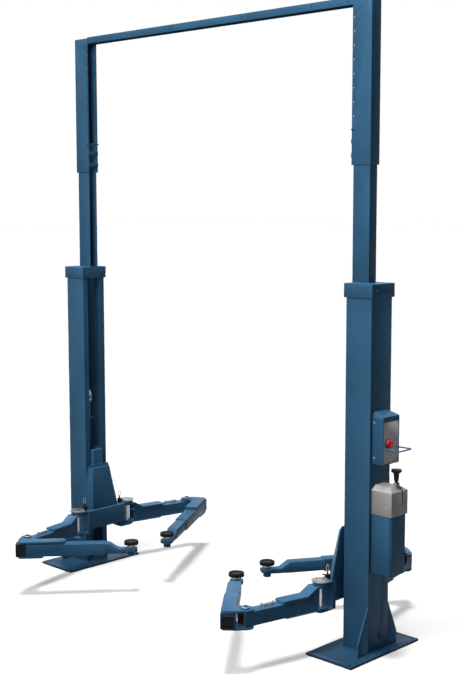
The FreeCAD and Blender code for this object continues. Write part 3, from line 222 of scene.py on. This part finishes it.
# Painted shade: the base plates' paint darkens towards the floor.
FLOOR_SHADED_PAINT = powder_paint("base_plate_paint_floor_shaded", PAINT, FLOOR_SHADE_TOP)
BRASS = brushed_metal("yellow_zinc_wire", (0.45, 0.36, 0.22), 0.34, lines=(1, 1, 1))
BROWN_PLASTIC = moulded_plastic("brown_end_plate", (0.022, 0.012, 0.009), 0.5)
# Painted light: the panel's grey is made lighter than the housing plastic to make up for the shade
# on its recessed face.
LIGHTENED_PANEL = moulded_plastic("panel_plastic_lightened", (0.52, 0.52, 0.53), 0.42)
OWN_FINISH = {
    "left_base_plate": FLOOR_SHADED_PAINT,
    "right_base_plate": FLOOR_SHADED_PAINT,
    "control_panel": LIGHTENED_PANEL,
}

# Pieces

BLUE, BLACK, STEEL = "blue_paint", "black_plastic", "bare_steel"
MERGE_DISTANCE = 1e-5
FLAT_ANGLE = math.radians(1.5)
EDGE_ANGLE = math.radians(20)
EDGE_STEPS = 2
WIRE_STEPS = 3


def add_object(name, data):
    """A new object in the scene that shows a mesh, curve, lamp or camera."""
    item = bpy.data.objects.new(name, data)
    bpy.context.scene.collection.objects.link(item)
    return item


def new_piece(name, mesh, body, slot, material=None, stands_for=()):
    """Put a finished mesh in the scene and say what it belongs to."""
    piece = add_object(name, mesh)
    mesh.materials.clear()
    mesh.materials.append(material or FINISHES[slot])
    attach(piece, body)
    if stands_for:
        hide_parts(*stands_for)


def settle(holder, name):
    """The mesh of an object with its modifiers applied; the object goes away."""
    depsgraph = bpy.context.evaluated_depsgraph_get()
    mesh = bpy.data.meshes.new_from_object(holder.evaluated_get(depsgraph))
    mesh.name = name
    bpy.data.objects.remove(holder)
    return mesh


def as_mesh(shape, name):
    """A new mesh from a shape that was being edited, which is let go."""
    mesh = bpy.data.meshes.new(name)
    shape.to_mesh(mesh)
    shape.free()
    return mesh


def rounded(label, width):
    """Replace a CAD node by the same shape, in whole faces, with its edges rounded off."""
    shape = bmesh.new()
    shape.from_mesh(frame["nodes"][label].data)
    bmesh.ops.remove_doubles(shape, verts=shape.verts, dist=MERGE_DISTANCE)
    bmesh.ops.dissolve_limit(shape, angle_limit=FLAT_ANGLE, verts=shape.verts,
                             edges=shape.edges)
    mesh = as_mesh(shape, f"{label}_raw")
    mesh.shade_smooth()
    holder = add_object(f"{label}_raw", mesh)
    bevel = holder.modifiers.new("Rounded edges", "BEVEL")
    bevel.width = width
    bevel.segments = EDGE_STEPS
    bevel.limit_method = "ANGLE"
    bevel.angle_limit = EDGE_ANGLE
    bevel.harden_normals = True
    bevel.miter_outer = "MITER_ARC"
    name = f"{label}_rounded"
    new_piece(name, settle(holder, name), BODY_OF[label], SLOT_OF[label], OWN_FINISH.get(label),
              stands_for=(label,))


def round_wire(name, points, radius, closed=False):
    """The mesh of a wire or rod that follows points."""
    data = bpy.data.curves.new(name, "CURVE")
    data.dimensions = "3D"
    data.bevel_depth = radius
    data.bevel_resolution = WIRE_STEPS
    data.use_fill_caps = True
    spline = data.splines.new("POLY")
    spline.points.add(len(points) - 1)
    for point, place in zip(spline.points, points):
        point.co = (*place, 1)
    spline.use_cyclic_u = closed
    mesh = settle(add_object(name, data), name)
    mesh.shade_smooth()
    return mesh


def plate_mesh(name, low, high, bevel):
    """The mesh of a small block with rounded edges."""
    shape = bmesh.new()
    bmesh.ops.create_cube(shape, size=1)
    size = Vector(high) - Vector(low)
    bmesh.ops.scale(shape, vec=size, verts=shape.verts)
    bmesh.ops.translate(shape, vec=(Vector(low) + Vector(high)) / 2, verts=shape.verts)
    bmesh.ops.bevel(shape, geom=shape.edges, offset=bevel, segments=EDGE_STEPS, affect="EDGES",
                    profile=0.5)
    return as_mesh(shape, name)


def prism(name, profile, near, far):
    """The mesh of a closed outline in X and Z, drawn out between two values of Y."""
    count = len(profile)
    points = [(x, y, z) for y in (near, far) for x, z in profile]
    faces = [tuple(range(count)), tuple(reversed(range(count, 2 * count)))]
    faces += [((i + 1) % count, i, i + count, (i + 1) % count + count) for i in range(count)]
    mesh = bpy.data.meshes.new(name)
    mesh.from_pydata(points, [], faces)
    return mesh


def joined_mesh(name, meshes):
    """Several meshes as one."""
    shape = bmesh.new()
    for mesh in meshes:
        shape.from_mesh(mesh)
        bpy.data.meshes.remove(mesh)
    return as_mesh(shape, name)


# Camera and light

CAMERA_PLACE = Vector((6.33159, -6.29673, 3.05214))
CAMERA_YAW = 0.7774557
CAMERA_PITCH = -0.1127524
CAMERA_ROLL = -0.0012027
CAMERA_LENS = 63.917
CAMERA_REACH = 200
WORLD_TINT = (0.93, 0.96, 1)
FLOOR_HALF_SIZE = 120.0
FLOOR_LEVEL = -0.0005


def set_camera():
    """The camera stands where the photograph was taken."""
    data = bpy.data.cameras.new("camera")
    data.lens = CAMERA_LENS
    data.clip_end = CAMERA_REACH
    camera = add_object("camera", data)
    turn = (Matrix.Rotation(CAMERA_YAW, 4, "Z")
            @ Matrix.Rotation(math.pi / 2 + CAMERA_PITCH, 4, "X")
            @ Matrix.Rotation(CAMERA_ROLL, 4, "Z"))
    camera.matrix_world = Matrix.Translation(CAMERA_PLACE) @ turn
    bpy.context.scene.camera = camera


def aim(lamp, towards):
    lamp.rotation_mode = "QUATERNION"
    lamp.rotation_quaternion = towards.to_track_quat("-Z", "Y")


def sun(name, strength, azimuth, elevation, softness, shadow=True):
    """A soft distant lamp; azimuth 0 shines along +Y and 90 along -X."""
    data = bpy.data.lights.new(name, "SUN")
    data.energy = strength
    data.use_shadow = shadow
    data.angle = math.radians(softness)
    a, e = math.radians(azimuth), math.radians(elevation)
    towards = Vector((-math.sin(a) * math.cos(e), math.cos(a) * math.cos(e), -math.sin(e)))
    aim(add_object(name, data), towards)


def softbox(name, power, place, target, size):
    """A square lamp that hangs in the studio and faces a point of the lift."""
    data = bpy.data.lights.new(name, "AREA")
    data.shape = "SQUARE"
    data.size = size
    data.energy = power
    lamp = add_object(name, data)
    lamp.location = place
    aim(lamp, Vector(target) - Vector(place))


def seen_directly(nodes, links):
    """1 for rays that show the background: camera, glossy and transmission."""
    path = nodes.new("ShaderNodeLightPath")
    total = path.outputs["Is Camera Ray"]
    for name in ("Is Glossy Ray", "Is Transmission Ray"):
        both = nodes.new("ShaderNodeMath")
        both.operation = "ADD"
        both.use_clamp = True
        links.new(total, both.inputs[0])
        links.new(path.outputs[name], both.inputs[1])
        total = both.outputs[0]
    return total


def set_world(ambient):
    """White where the world is seen, and a dim pale light on the lift."""
    world = bpy.data.worlds.new("studio")
    world.use_nodes = True
    bpy.context.scene.world = world
    nodes, links = world.node_tree.nodes, world.node_tree.links
    dim, white = nodes["Background"], nodes.new("ShaderNodeBackground")
    dim.inputs["Color"].default_value = (*WORLD_TINT, 1)
    dim.inputs["Strength"].default_value = ambient
    white.inputs["Color"].default_value = (1, 1, 1, 1)
    mix = nodes.new("ShaderNodeMixShader")
    links.new(seen_directly(nodes, links), mix.inputs[0])
    links.new(dim.outputs[0], mix.inputs[1])
    links.new(white.outputs[0], mix.inputs[2])
    links.new(mix.outputs[0], nodes["World Output"].inputs["Surface"])


def lay_floor(seen, unseen):
    """A pale floor: one grey where it is seen, a darker one for the light that it throws back."""
    size = FLOOR_HALF_SIZE
    mesh = bpy.data.meshes.new("floor")
    mesh.from_pydata([(x, y, FLOOR_LEVEL) for x, y in
                      ((-size, -size), (size, -size), (size, size), (-size, size))],
                     [], [(0, 1, 2, 3)])
    material, shader = start_material("pale_floor", (unseen,) * 3, roughness=0.9, specular=0.0)
    nodes, links = material.node_tree.nodes, material.node_tree.links
    pale = nodes.new("ShaderNodeBsdfDiffuse")
    pale.inputs["Color"].default_value = (seen, seen, seen, 1)
    choice = nodes.new("ShaderNodeMixShader")
    links.new(seen_directly(nodes, links), choice.inputs[0])
    links.new(shader.outputs[0], choice.inputs[1])
    links.new(pale.outputs[0], choice.inputs[2])
    links.new(choice.outputs[0], nodes["Material Output"].inputs["Surface"])
    mesh.materials.append(material)
    add_object("floor", mesh)


# Geometry node trees

WASHER_SIDES = 24
RIPPLE_SHARE = 0.9


def start_tree(name, inputs):
    """A node tree with named inputs, each (name, kind, value)."""
    tree = bpy.data.node_groups.new(name, "GeometryNodeTree")
    tree.interface.new_socket("Geometry", in_out="INPUT", socket_type="NodeSocketGeometry")
    for title, kind, value in inputs:
        socket = tree.interface.new_socket(title, in_out="INPUT", socket_type=f"NodeSocket{kind}")
        if value is not None:
            socket.default_value = value
    tree.interface.new_socket("Geometry", in_out="OUTPUT", socket_type="NodeSocketGeometry")
    return tree, tree.nodes.new("NodeGroupInput"), tree.nodes.new("NodeGroupOutput")


def node(tree, kind, links=None, **settings):
    """A node with its settings and its incoming links or plain values."""
    item = tree.nodes.new(kind)
    for key, value in settings.items():
        setattr(item, key, value)
    for socket, source in (links or {}).items():
        if isinstance(source, bpy.types.NodeSocket):
            tree.links.new(source, item.inputs[socket])
        else:
            item.inputs[socket].default_value = source
    return item


def run_tree(tree, mesh, name, values):
    """Run a tree on a mesh with values for its named inputs; gives a plain mesh."""
    holder = add_object(f"{name}_points", mesh)
    modifier = holder.modifiers.new(tree.name, "NODES")
    modifier.node_group = tree
    for item in tree.interface.items_tree:
        if item.in_out == "INPUT" and item.name in values:
            modifier[item.identifier] = values[item.name]
    return settle(holder, name)


def points_mesh(name, places):
    """Loose points, each with the direction that a small part there faces."""
    mesh = bpy.data.meshes.new(name)
    mesh.from_pydata([place for place, facing in places], [], [])
    facing = mesh.attributes.new("facing", "FLOAT_VECTOR", "POINT")
    for index, (place, direction) in enumerate(places):
        facing.data[index].vector = direction
    return mesh


def bolt_tree():
    """Bolts or screws with a washer, one at each point."""
    tree, start, end = start_tree("bolts", [
        ("Head radius", "Float", 0.009), ("Head height", "Float", 0.007),
        ("Head sides", "Int", 6), ("Washer radius", "Float", 0.014),
        ("Washer height", "Float", 0.002), ("Material", "Material", None)])
    get = start.outputs
    half_washer = node(tree, "ShaderNodeMath", {0: get["Washer height"], 1: 0.5},
                       operation="MULTIPLY").outputs[0]
    half_head = node(tree, "ShaderNodeMath", {0: get["Head height"], 1: 0.5},
                     operation="MULTIPLY").outputs[0]
    head_middle = node(tree, "ShaderNodeMath", {0: get["Washer height"], 1: half_head},
                       operation="ADD").outputs[0]
    washer = node(tree, "GeometryNodeMeshCylinder", {
        "Vertices": WASHER_SIDES, "Radius": get["Washer radius"], "Depth": get["Washer height"]})
    head = node(tree, "GeometryNodeMeshCylinder", {
        "Vertices": get["Head sides"], "Radius": get["Head radius"], "Depth": get["Head height"]})
    joined = node(tree, "GeometryNodeJoinGeometry")
    for mesh, height in ((washer, half_washer), (head, head_middle)):
        offset = node(tree, "ShaderNodeCombineXYZ", {"Z": height})
        lifted = node(tree, "GeometryNodeTransform", {
            "Geometry": mesh.outputs["Mesh"], "Translation": offset.outputs[0]})
        tree.links.new(lifted.outputs[0], joined.inputs[0])
    facing = node(tree, "GeometryNodeInputNamedAttribute", {"Name": "facing"},
                  data_type="FLOAT_VECTOR")
    turn = node(tree, "FunctionNodeAlignRotationToVector", {"Vector": facing.outputs[0]}, axis="Z")
    placed = node(tree, "GeometryNodeInstanceOnPoints", {
        "Points": get["Geometry"], "Instance": joined.outputs[0], "Rotation": turn.outputs[0]})
    real = node(tree, "GeometryNodeRealizeInstances", {"Geometry": placed.outputs[0]})
    colored = node(tree, "GeometryNodeSetMaterial", {
        "Geometry": real.outputs[0], "Material": get["Material"]})
    tree.links.new(colored.outputs[0], end.inputs[0])
    return tree


def weld_tree():
    """A rippled weld bead along every edge of a mesh."""
    tree, start, end = start_tree("weld_bead", [
        ("Bead radius", "Float", 0.004), ("Ripple pitch", "Float", 0.0035),
        ("Material", "Material", None)])
    get = start.outputs
    path = node(tree, "GeometryNodeMeshToCurve", {"Mesh": get["Geometry"]})
    steps = node(tree, "GeometryNodeResampleCurve", {
        "Curve": path.outputs[0], "Length": get["Ripple pitch"]}, mode="LENGTH")
    drop = node(tree, "GeometryNodeMeshIcoSphere", {
        "Radius": get["Bead radius"], "Subdivisions": 1})
    rows = node(tree, "GeometryNodeInstanceOnPoints", {
        "Points": steps.outputs[0], "Instance": drop.outputs["Mesh"]})
    real = node(tree, "GeometryNodeRealizeInstances", {"Geometry": rows.outputs[0]})
    smooth = node(tree, "GeometryNodeSetShadeSmooth", {"Geometry": real.outputs[0]})
    colored = node(tree, "GeometryNodeSetMaterial", {
        "Geometry": smooth.outputs[0], "Material": get["Material"]})
    tree.links.new(colored.outputs[0], end.inputs[0])
    return tree


BOLTS = bolt_tree()
WELDS = weld_tree()


def bolts(name, places, body, head, washer, sides=6, slot=STEEL, material=GALVANISED):
    """Bolts of one size on one body; head and washer are (radius, height)."""
    mesh = run_tree(BOLTS, points_mesh(name, places), name, {
        "Head radius": head[0], "Head height": head[1], "Head sides": sides,
        "Washer radius": washer[0], "Washer height": washer[1], "Material": material})
    new_piece(name, mesh, body, slot, material)


def weld_loop(name, low, high, level, radius, material):
    """A weld bead round the foot of an upright piece of the frame."""
    corners = [(low.x, low.y, level), (high.x, low.y, level), (high.x, high.y, level),
               (low.x, high.y, level), (low.x, low.y, level)]
    mesh = bpy.data.meshes.new(name)
    mesh.from_pydata(corners, [(i, i + 1) for i in range(len(corners) - 1)], [])
    finished = run_tree(WELDS, mesh, name, {
        "Bead radius": radius, "Ripple pitch": radius * RIPPLE_SHARE, "Material": material})
    new_piece(name, finished, "frame", BLUE, material)


# Places along the arms

ARM_LEAD = math.radians(12)
ARM_REACH = 0.609
FOREARM_HEADING = {"front": math.radians(49.4), "rear": math.radians(58.3)}
FOREARM_OFFSET = 0.112
UP = Vector((0, 0, 1))


def arm_place(side, end):
    """Arm coordinates: X from the pin to the elbow, Z up from the floor."""
    low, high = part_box(f"{side}_{end}_pin")
    along = Vector((SIDES[side] * math.sin(ARM_LEAD), ENDS[end] * math.cos(ARM_LEAD), 0))
    turn = Matrix((along, UP.cross(along), UP)).transposed().to_4x4()
    middle = (low + high) / 2
    return Matrix.Translation((middle.x, middle.y, 0)) @ turn


def forearm_place(side, end):
    """Forearm coordinates: the origin at the elbow, X along the tube, Y towards the tube."""
    elbow = arm_place(side, end) @ Vector((ARM_REACH, 0, 0))
    heading = FOREARM_HEADING[end]
    along = Vector((SIDES[side] * math.cos(heading), -ENDS[end] * math.sin(heading), 0))
    across = Vector((SIDES[side] * math.sin(heading), ENDS[end] * math.cos(heading), 0))
    turn = Matrix((along, across, UP)).transposed().to_4x4()
    return Matrix.Translation(elbow) @ turn


def put_in_place(mesh, place):
    """Move a mesh to its place; a mirrored place turns the faces, so they are turned back."""
    mesh.transform(place)
    if place.determinant() < 0:
        mesh.flip_normals()
    return mesh


def circle(count):
    """Angles of points round a full circle."""
    return [2 * math.pi * i / count for i in range(count)]


# Small parts of the arms

LATCH_START, LATCH_END = 0.362, 0.5
LATCH_HEIGHT, LATCH_FLOOR = 0.424, 0.409
LATCH_ROD = 0.0045
SPRING_TURNS, SPRING_STEPS = 11, 14
SPRING_RADIUS, SPRING_WIRE = 0.0085, 0.0016
SPRING_LEAD, SPRING_TAIL = 0.028, 0.026
BRACKET_HALF_LENGTH, BRACKET_HALF_WIDTH = 0.003, 0.016
BRACKET_RISE, BRACKET_GAP, BRACKET_EDGE = 0.011, 0.004, 0.001


def elbow_latch(side, end):
    """The sprung rod on top of the arm that holds the folded forearm."""
    name = f"{side}_{end}_elbow_latch"
    rod = round_wire(f"{name}_rod", [(LATCH_START, 0, LATCH_HEIGHT), (LATCH_END, 0, LATCH_HEIGHT)],
                     LATCH_ROD)
    low, high = LATCH_START + SPRING_LEAD, LATCH_END - SPRING_TAIL
    steps = SPRING_TURNS * SPRING_STEPS
    helix = []
    for i in range(steps + 1):
        turn = 2 * math.pi * SPRING_TURNS * i / steps
        helix.append((low + (high - low) * i / steps, SPRING_RADIUS * math.cos(turn),
                      LATCH_HEIGHT + SPRING_RADIUS * math.sin(turn)))
    spring = round_wire(f"{name}_spring", helix, SPRING_WIRE)
    brackets = [
        plate_mesh(f"{name}_bracket",
                   (middle - BRACKET_HALF_LENGTH, -BRACKET_HALF_WIDTH, LATCH_FLOOR),
                   (middle + BRACKET_HALF_LENGTH, BRACKET_HALF_WIDTH, LATCH_HEIGHT + BRACKET_RISE),
                   BRACKET_EDGE)
        for middle in (low - BRACKET_GAP, high + BRACKET_GAP)
    ]
    mesh = put_in_place(joined_mesh(name, [rod, spring] + brackets), arm_place(side, end))
    new_piece(name, mesh, f"{side}_{end}_arm", STEEL, GALVANISED)


ELBOW_WASHER_TOP, ELBOW_HEAD_TOP = 0.4335, 0.4415
RING_RISE, RING_RADIUS, RING_WIRE, RING_STEPS = 0.0015, 0.0245, 0.003, 40
SOCKET_SHADE, SOCKET_SHADE_RIM = (0.007, 0.0012), (0.0115, 0.0006)


def elbow_cap(side, end):
    """The bright ring round the elbow's bolt head, and a black disc on the head: painted shade for
    its socket.
    """
    body = f"{side}_{end}_arm"
    place = arm_place(side, end)
    seat = place @ Vector((ARM_REACH, 0, ELBOW_WASHER_TOP + RING_RISE))
    points = [(seat.x + RING_RADIUS * math.cos(turn), seat.y + RING_RADIUS * math.sin(turn), seat.z)
              for turn in circle(RING_STEPS)]
    name = f"{side}_{end}_elbow_ring"
    new_piece(name, round_wire(name, points, RING_WIRE, closed=True), body, STEEL, GALVANISED)
    top = place @ Vector((ARM_REACH, 0, ELBOW_HEAD_TOP))
    bolts(f"{side}_{end}_elbow_socket_shade", [(top, (0, 0, 1))], body, SOCKET_SHADE, SOCKET_SHADE_RIM,
          slot=BLACK, material=FINISHES[BLACK])


TUBE_MIDDLE = 0.3615
TUBE_BACK, ARM_TUBE_END = -0.08, 0.645
FOREARM_SHADE_DEPTH, FOREARM_SHADE_FACE = 0.02, 0.012
FOREARM_SHADE_HALF_WIDTH, FOREARM_SHADE_HALF_HEIGHT = 0.0425, 0.0395
ARM_PLUG_DEPTH, ARM_PLUG_FACE = 0.01, 0.004
ARM_PLUG_HALF_WIDTH, ARM_PLUG_HALF_HEIGHT = 0.0365, 0.04
PLUG_EDGE = 0.0012
PLUG_SCREW, PLUG_SCREW_RIM = (0.008, 0.0008), (0.013, 0.0006)


def tube_end_shade_and_plug(side, end):
    """A black block inside the forearm's open end, painted shade for the dark inside of the tube,
    and the brown plate in the arm's.
    """
    width, height = FOREARM_SHADE_HALF_WIDTH, FOREARM_SHADE_HALF_HEIGHT
    name = f"{side}_{end}_forearm_plug"
    mesh = plate_mesh(name, (TUBE_BACK + FOREARM_SHADE_FACE, FOREARM_OFFSET - width,
                             TUBE_MIDDLE - height),
                      (TUBE_BACK + FOREARM_SHADE_DEPTH, FOREARM_OFFSET + width,
                       TUBE_MIDDLE + height), PLUG_EDGE)
    new_piece(name, put_in_place(mesh, forearm_place(side, end)), f"{side}_{end}_forearm", BLACK)
    place = arm_place(side, end)
    width, height = ARM_PLUG_HALF_WIDTH, ARM_PLUG_HALF_HEIGHT
    name = f"{side}_{end}_arm_plug"
    mesh = plate_mesh(name, (ARM_TUBE_END - ARM_PLUG_DEPTH, -width, TUBE_MIDDLE - height),
                      (ARM_TUBE_END - ARM_PLUG_FACE, width, TUBE_MIDDLE + height), PLUG_EDGE)
    new_piece(name, put_in_place(mesh, place), f"{side}_{end}_arm", BLACK, BROWN_PLASTIC)
    outward = place.to_3x3() @ Vector((1, 0, 0))
    middle = place @ Vector((ARM_TUBE_END - ARM_PLUG_FACE, 0, TUBE_MIDDLE))
    bolts(f"{side}_{end}_arm_plug_screw", [(middle, outward)], f"{side}_{end}_arm",
          PLUG_SCREW, PLUG_SCREW_RIM, slot=BLACK, material=FINISHES[BLACK])


SLEEVE_END = -0.002
SLEEVE_WALL, SLEEVE_EDGE = 0.0012, 0.0004
TUBE_HALF_WIDTH, TUBE_HALF_HEIGHT = 0.048, 0.045


def end_sleeve(side, end):
    """The black bumper sleeve over the open back end of a forearm's tube."""
    start = TUBE_BACK - SLEEVE_WALL
    width, height = TUBE_HALF_WIDTH + SLEEVE_WALL, TUBE_HALF_HEIGHT + SLEEVE_WALL
    name = f"{side}_{end}_end_sleeve"
    walls = []
    for way in (-1, 1):
        upright = sorted((way * TUBE_HALF_WIDTH, way * width))
        level = sorted((way * TUBE_HALF_HEIGHT, way * height))
        for y, z in ((upright, (-height, height)), ((-width, width), level)):
            walls.append(plate_mesh("wall", (start, FOREARM_OFFSET + y[0], TUBE_MIDDLE + z[0]),
                                    (SLEEVE_END, FOREARM_OFFSET + y[1], TUBE_MIDDLE + z[1]),
                                    SLEEVE_EDGE))
    mesh = put_in_place(joined_mesh(name, walls), forearm_place(side, end))
    new_piece(name, mesh, f"{side}_{end}_forearm", BLACK)


GEAR_SHADE_FOOT = 0.497
GEAR_SHADE_HUB, GEAR_SHADE_DISC = (0.0245, 0.0003), (0.049, 0.0012)


def gear_shade(side, end):
    """A black disc under an arm's gear: painted shade that shows through the gear's slots."""
    low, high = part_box(f"{side}_{end}_pin")
    middle = ((low.x + high.x) / 2, (low.y + high.y) / 2, GEAR_SHADE_FOOT)
    bolts(f"{side}_{end}_gear_slot_shade", [(middle, (0, 0, 1))], f"{side}_{end}_arm",
          GEAR_SHADE_HUB, GEAR_SHADE_DISC, sides=WASHER_SIDES, slot=BLACK, material=FINISHES[BLACK])


PAD_LUGS = 14
PAD_TOP = 0.4053
LUG_NEAR, LUG_FAR, LUG_HALF_WIDTH = 0.0415, 0.0525, 0.0055
LUG_ROOT, LUG_RISE, LUG_EDGE = 0.001, 0.003, 0.0012


def pad_lugs(side, end):
    """The raised lugs round the top of a pad."""
    low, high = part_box(f"{side}_{end}_pad")
    middle = (low + high) / 2
    lugs = []
    for i in range(PAD_LUGS):
        lug = plate_mesh("lug", (LUG_NEAR, -LUG_HALF_WIDTH, PAD_TOP - LUG_ROOT),
                         (LUG_FAR, LUG_HALF_WIDTH, PAD_TOP + LUG_RISE), LUG_EDGE)
        lug.transform(Matrix.Translation((middle.x, middle.y, 0))
                      @ Matrix.Rotation(2 * math.pi * (i + 0.5) / PAD_LUGS, 4, "Z"))
        lugs.append(lug)
    name = f"{side}_{end}_pad_lugs"
    new_piece(name, joined_mesh(name, lugs), f"{side}_{end}_pad", "black_rubber")


PULL_PLACE, PULL_SINK = 0.189, 0.004
PULL_WIDTH, PULL_HEIGHT = 0.023, 0.05
PULL_WIRE, PULL_STEPS = 0.002, 28


def lock_pull(side, end):
    """The wire ring that lifts an arm's lock."""
    low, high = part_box(f"{side}_{end}_pin")
    lock_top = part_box(f"{side}_arm_locks")[1].z
    middle = Vector(((low.x + high.x) / 2, ENDS[end] * PULL_PLACE, lock_top - PULL_SINK))
    points = [(middle.x, middle.y + PULL_WIDTH / 2 * math.sin(turn),
               middle.z + PULL_HEIGHT / 2 * (1 - math.cos(turn))) for turn in circle(PULL_STEPS)]
    name = f"{side}_{end}_lock_pull"
    new_piece(name, round_wire(name, points, PULL_WIRE, closed=True), f"{side}_carriage",
              STEEL, BRASS)


# Small parts of the frame

SLOT_NEAR, SLOT_FAR = 0.0285, 0.0475
SLOT_DEPTH = 0.007
SLOT_FOOT, SLOT_SHOULDER, SLOT_CROWN = 0.0565, 0.1585, 0.185
CROWN_INSET = 0.042
SLOT_SHADE_DEPTH, SLOT_SHADE_DROP = 0.0012, 0.0008


def hood_slot_shade():
    """A thin black sheet on the floor of the hood's slot: painted shade in the recess."""
    low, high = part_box("power_unit_hood")
    face = high.x - SLOT_DEPTH
    crown = high.x - CROWN_INSET
    outer = [(face, low.z + SLOT_FOOT), (face, low.z + SLOT_SHOULDER), (crown, low.z + SLOT_CROWN)]
    inner = [(x - SLOT_SHADE_DEPTH, z - SLOT_SHADE_DROP) for x, z in reversed(outer)]
    mesh = prism("hood_slot_shade", outer + inner, SLOT_NEAR, SLOT_FAR)
    new_piece("hood_slot_shade", mesh, "frame", BLACK)


FOOT_WELD, FOOT_WELD_RISE = 0.004, 0.001
RISER_WELD = 0.003


def post_welds(side):
    """Beads round the foot of a column and where the riser stands on its collar."""
    low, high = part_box(f"{side}_column")
    # The foot bead takes the base plates' paint, with its painted shade near the floor.
    weld_loop(f"{side}_column_weld", low, high, low.z + FOOT_WELD_RISE, FOOT_WELD, FLOOR_SHADED_PAINT)
    low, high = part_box(f"{side}_riser")
    weld_loop(f"{side}_riser_weld", low, high, low.z, RISER_WELD, FINISHES[BLUE])


COLLAR_SCREW, COLLAR_WASHER = (0.007, 0.005), (0.0105, 0.0015)
COLLAR_SCREW_SHARES = (0.2, 0.8)


def collar_screws(side):
    """Painted screws on a collar's inner and outer faces."""
    low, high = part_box(f"{side}_collar")
    height = (low.z + high.z) / 2
    places = []
    for share in COLLAR_SCREW_SHARES:
        y = low.y + (high.y - low.y) * share
        places += [((low.x, y, height), (-1, 0, 0)), ((high.x, y, height), (1, 0, 0))]
    bolts(f"{side}_collar_screws", places, "frame", COLLAR_SCREW, COLLAR_WASHER,
          slot=BLUE, material=FINISHES[BLUE])


BEAM_BOLT, BEAM_WASHER = (0.0065, 0.005), (0.0095, 0.0015)
BEAM_BOLTS = ((-1.157, 4.351), (-0.454, 4.353), (0.296, 4.353), (0.943, 4.353), (1.262, 4.350))


def beam_bolts():
    """Painted bolts on the front and the back of the overhead beam."""
    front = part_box("long_beam")[0].y
    places = [((x, y, z), (0, hand, 0)) for hand, y in ((-1, front), (1, -front))
              for x, z in BEAM_BOLTS]
    bolts("beam_bolts", places, "frame", BEAM_BOLT, BEAM_WASHER,
          slot=BLUE, material=FINISHES[BLUE])


COVER_SCREW, COVER_WASHER, COVER_SCREW_SIDES = (0.0045, 0.0025), (0.0065, 0.001), 20
COVER_SCREWS = (("control_box", 1.552, 1.365), ("control_box", 1.552, 1.602),
                ("power_unit_hood", 1.66, 1.043))


def cover_screws():
    """Round screw heads on both sides of the control box and the hood."""
    places = [((x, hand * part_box(case)[1].y, z), (0, hand, 0)) for case, x, z in COVER_SCREWS
              for hand in (-1, 1)]
    bolts("cover_screws", places, "frame", COVER_SCREW, COVER_WASHER, sides=COVER_SCREW_SIDES)


# Making

POST_ROUNDING = {
    "column": 0.003, "collar": 0.002, "riser": 0.002, "upper_sleeve": 0.002,
    "carriage": 0.002, "carriage_guard": 0.0015, "arm_locks": 0.001, "cylinder_rod": 0.001,
    "lift_cylinder": 0.001,
}
ARM_ROUNDING = {
    "arm": 0.002, "pin": 0.0008, "forearm": 0.0025, "extension": 0.002, "pad_screw": 0.001,
    "pad": 0.0015,
}
EQUIPMENT_ROUNDING = {
    "control_box": 0.004, "power_unit_cover": 0.004, "power_unit_hood": 0.004,
    "lowering_lever": 0.0005, "main_switch": 0.001, "control_panel": 0.0006,
    "motor_end": 0.002, "tank_bottom": 0.0005,
}
BAR_ROUNDING = {"switch_guard": 0.0004, "long_beam": 0.002, "short_beam": 0.002}
BASE_ROUNDING = 0.0015

bpy.context.scene.view_settings.view_transform = "Standard"
set_camera()
set_world(ambient=0.03)
sun("overhead_softbox", strength=2.7, azimuth=0, elevation=86, softness=12)
sun("left_softbox", strength=2.1, azimuth=277, elevation=40, softness=14, shadow=False)
sun("front_softbox", strength=0.5, azimuth=345, elevation=25, softness=60)
sun("right_softbox", strength=0.1, azimuth=60, elevation=25, softness=60)
softbox("high_softbox", power=290, place=(1.0, -5.0, 5.8), target=(0, 0, 3.4), size=3.0)
lay_floor(seen=0.72, unseen=0.12)

for label, item in frame["nodes"].items():
    item.data.materials.clear()
    item.data.materials.append(FINISHES[SLOT_OF[label]])

for side in SIDES:
    rounded(f"{side}_base_plate", BASE_ROUNDING)
    post_welds(side)
    collar_screws(side)
    for part, width in POST_ROUNDING.items():
        rounded(f"{side}_{part}", width)
    for end in ENDS:
        elbow_latch(side, end)
        elbow_cap(side, end)
        tube_end_shade_and_plug(side, end)
        end_sleeve(side, end)
        gear_shade(side, end)
        pad_lugs(side, end)
        lock_pull(side, end)
        for part, width in ARM_ROUNDING.items():
            rounded(f"{side}_{end}_{part}", width)
for label, width in EQUIPMENT_ROUNDING.items():
    rounded(label, width)
hood_slot_shade()
for label, width in BAR_ROUNDING.items():
    rounded(label, width)
beam_bolts()
cover_screws()
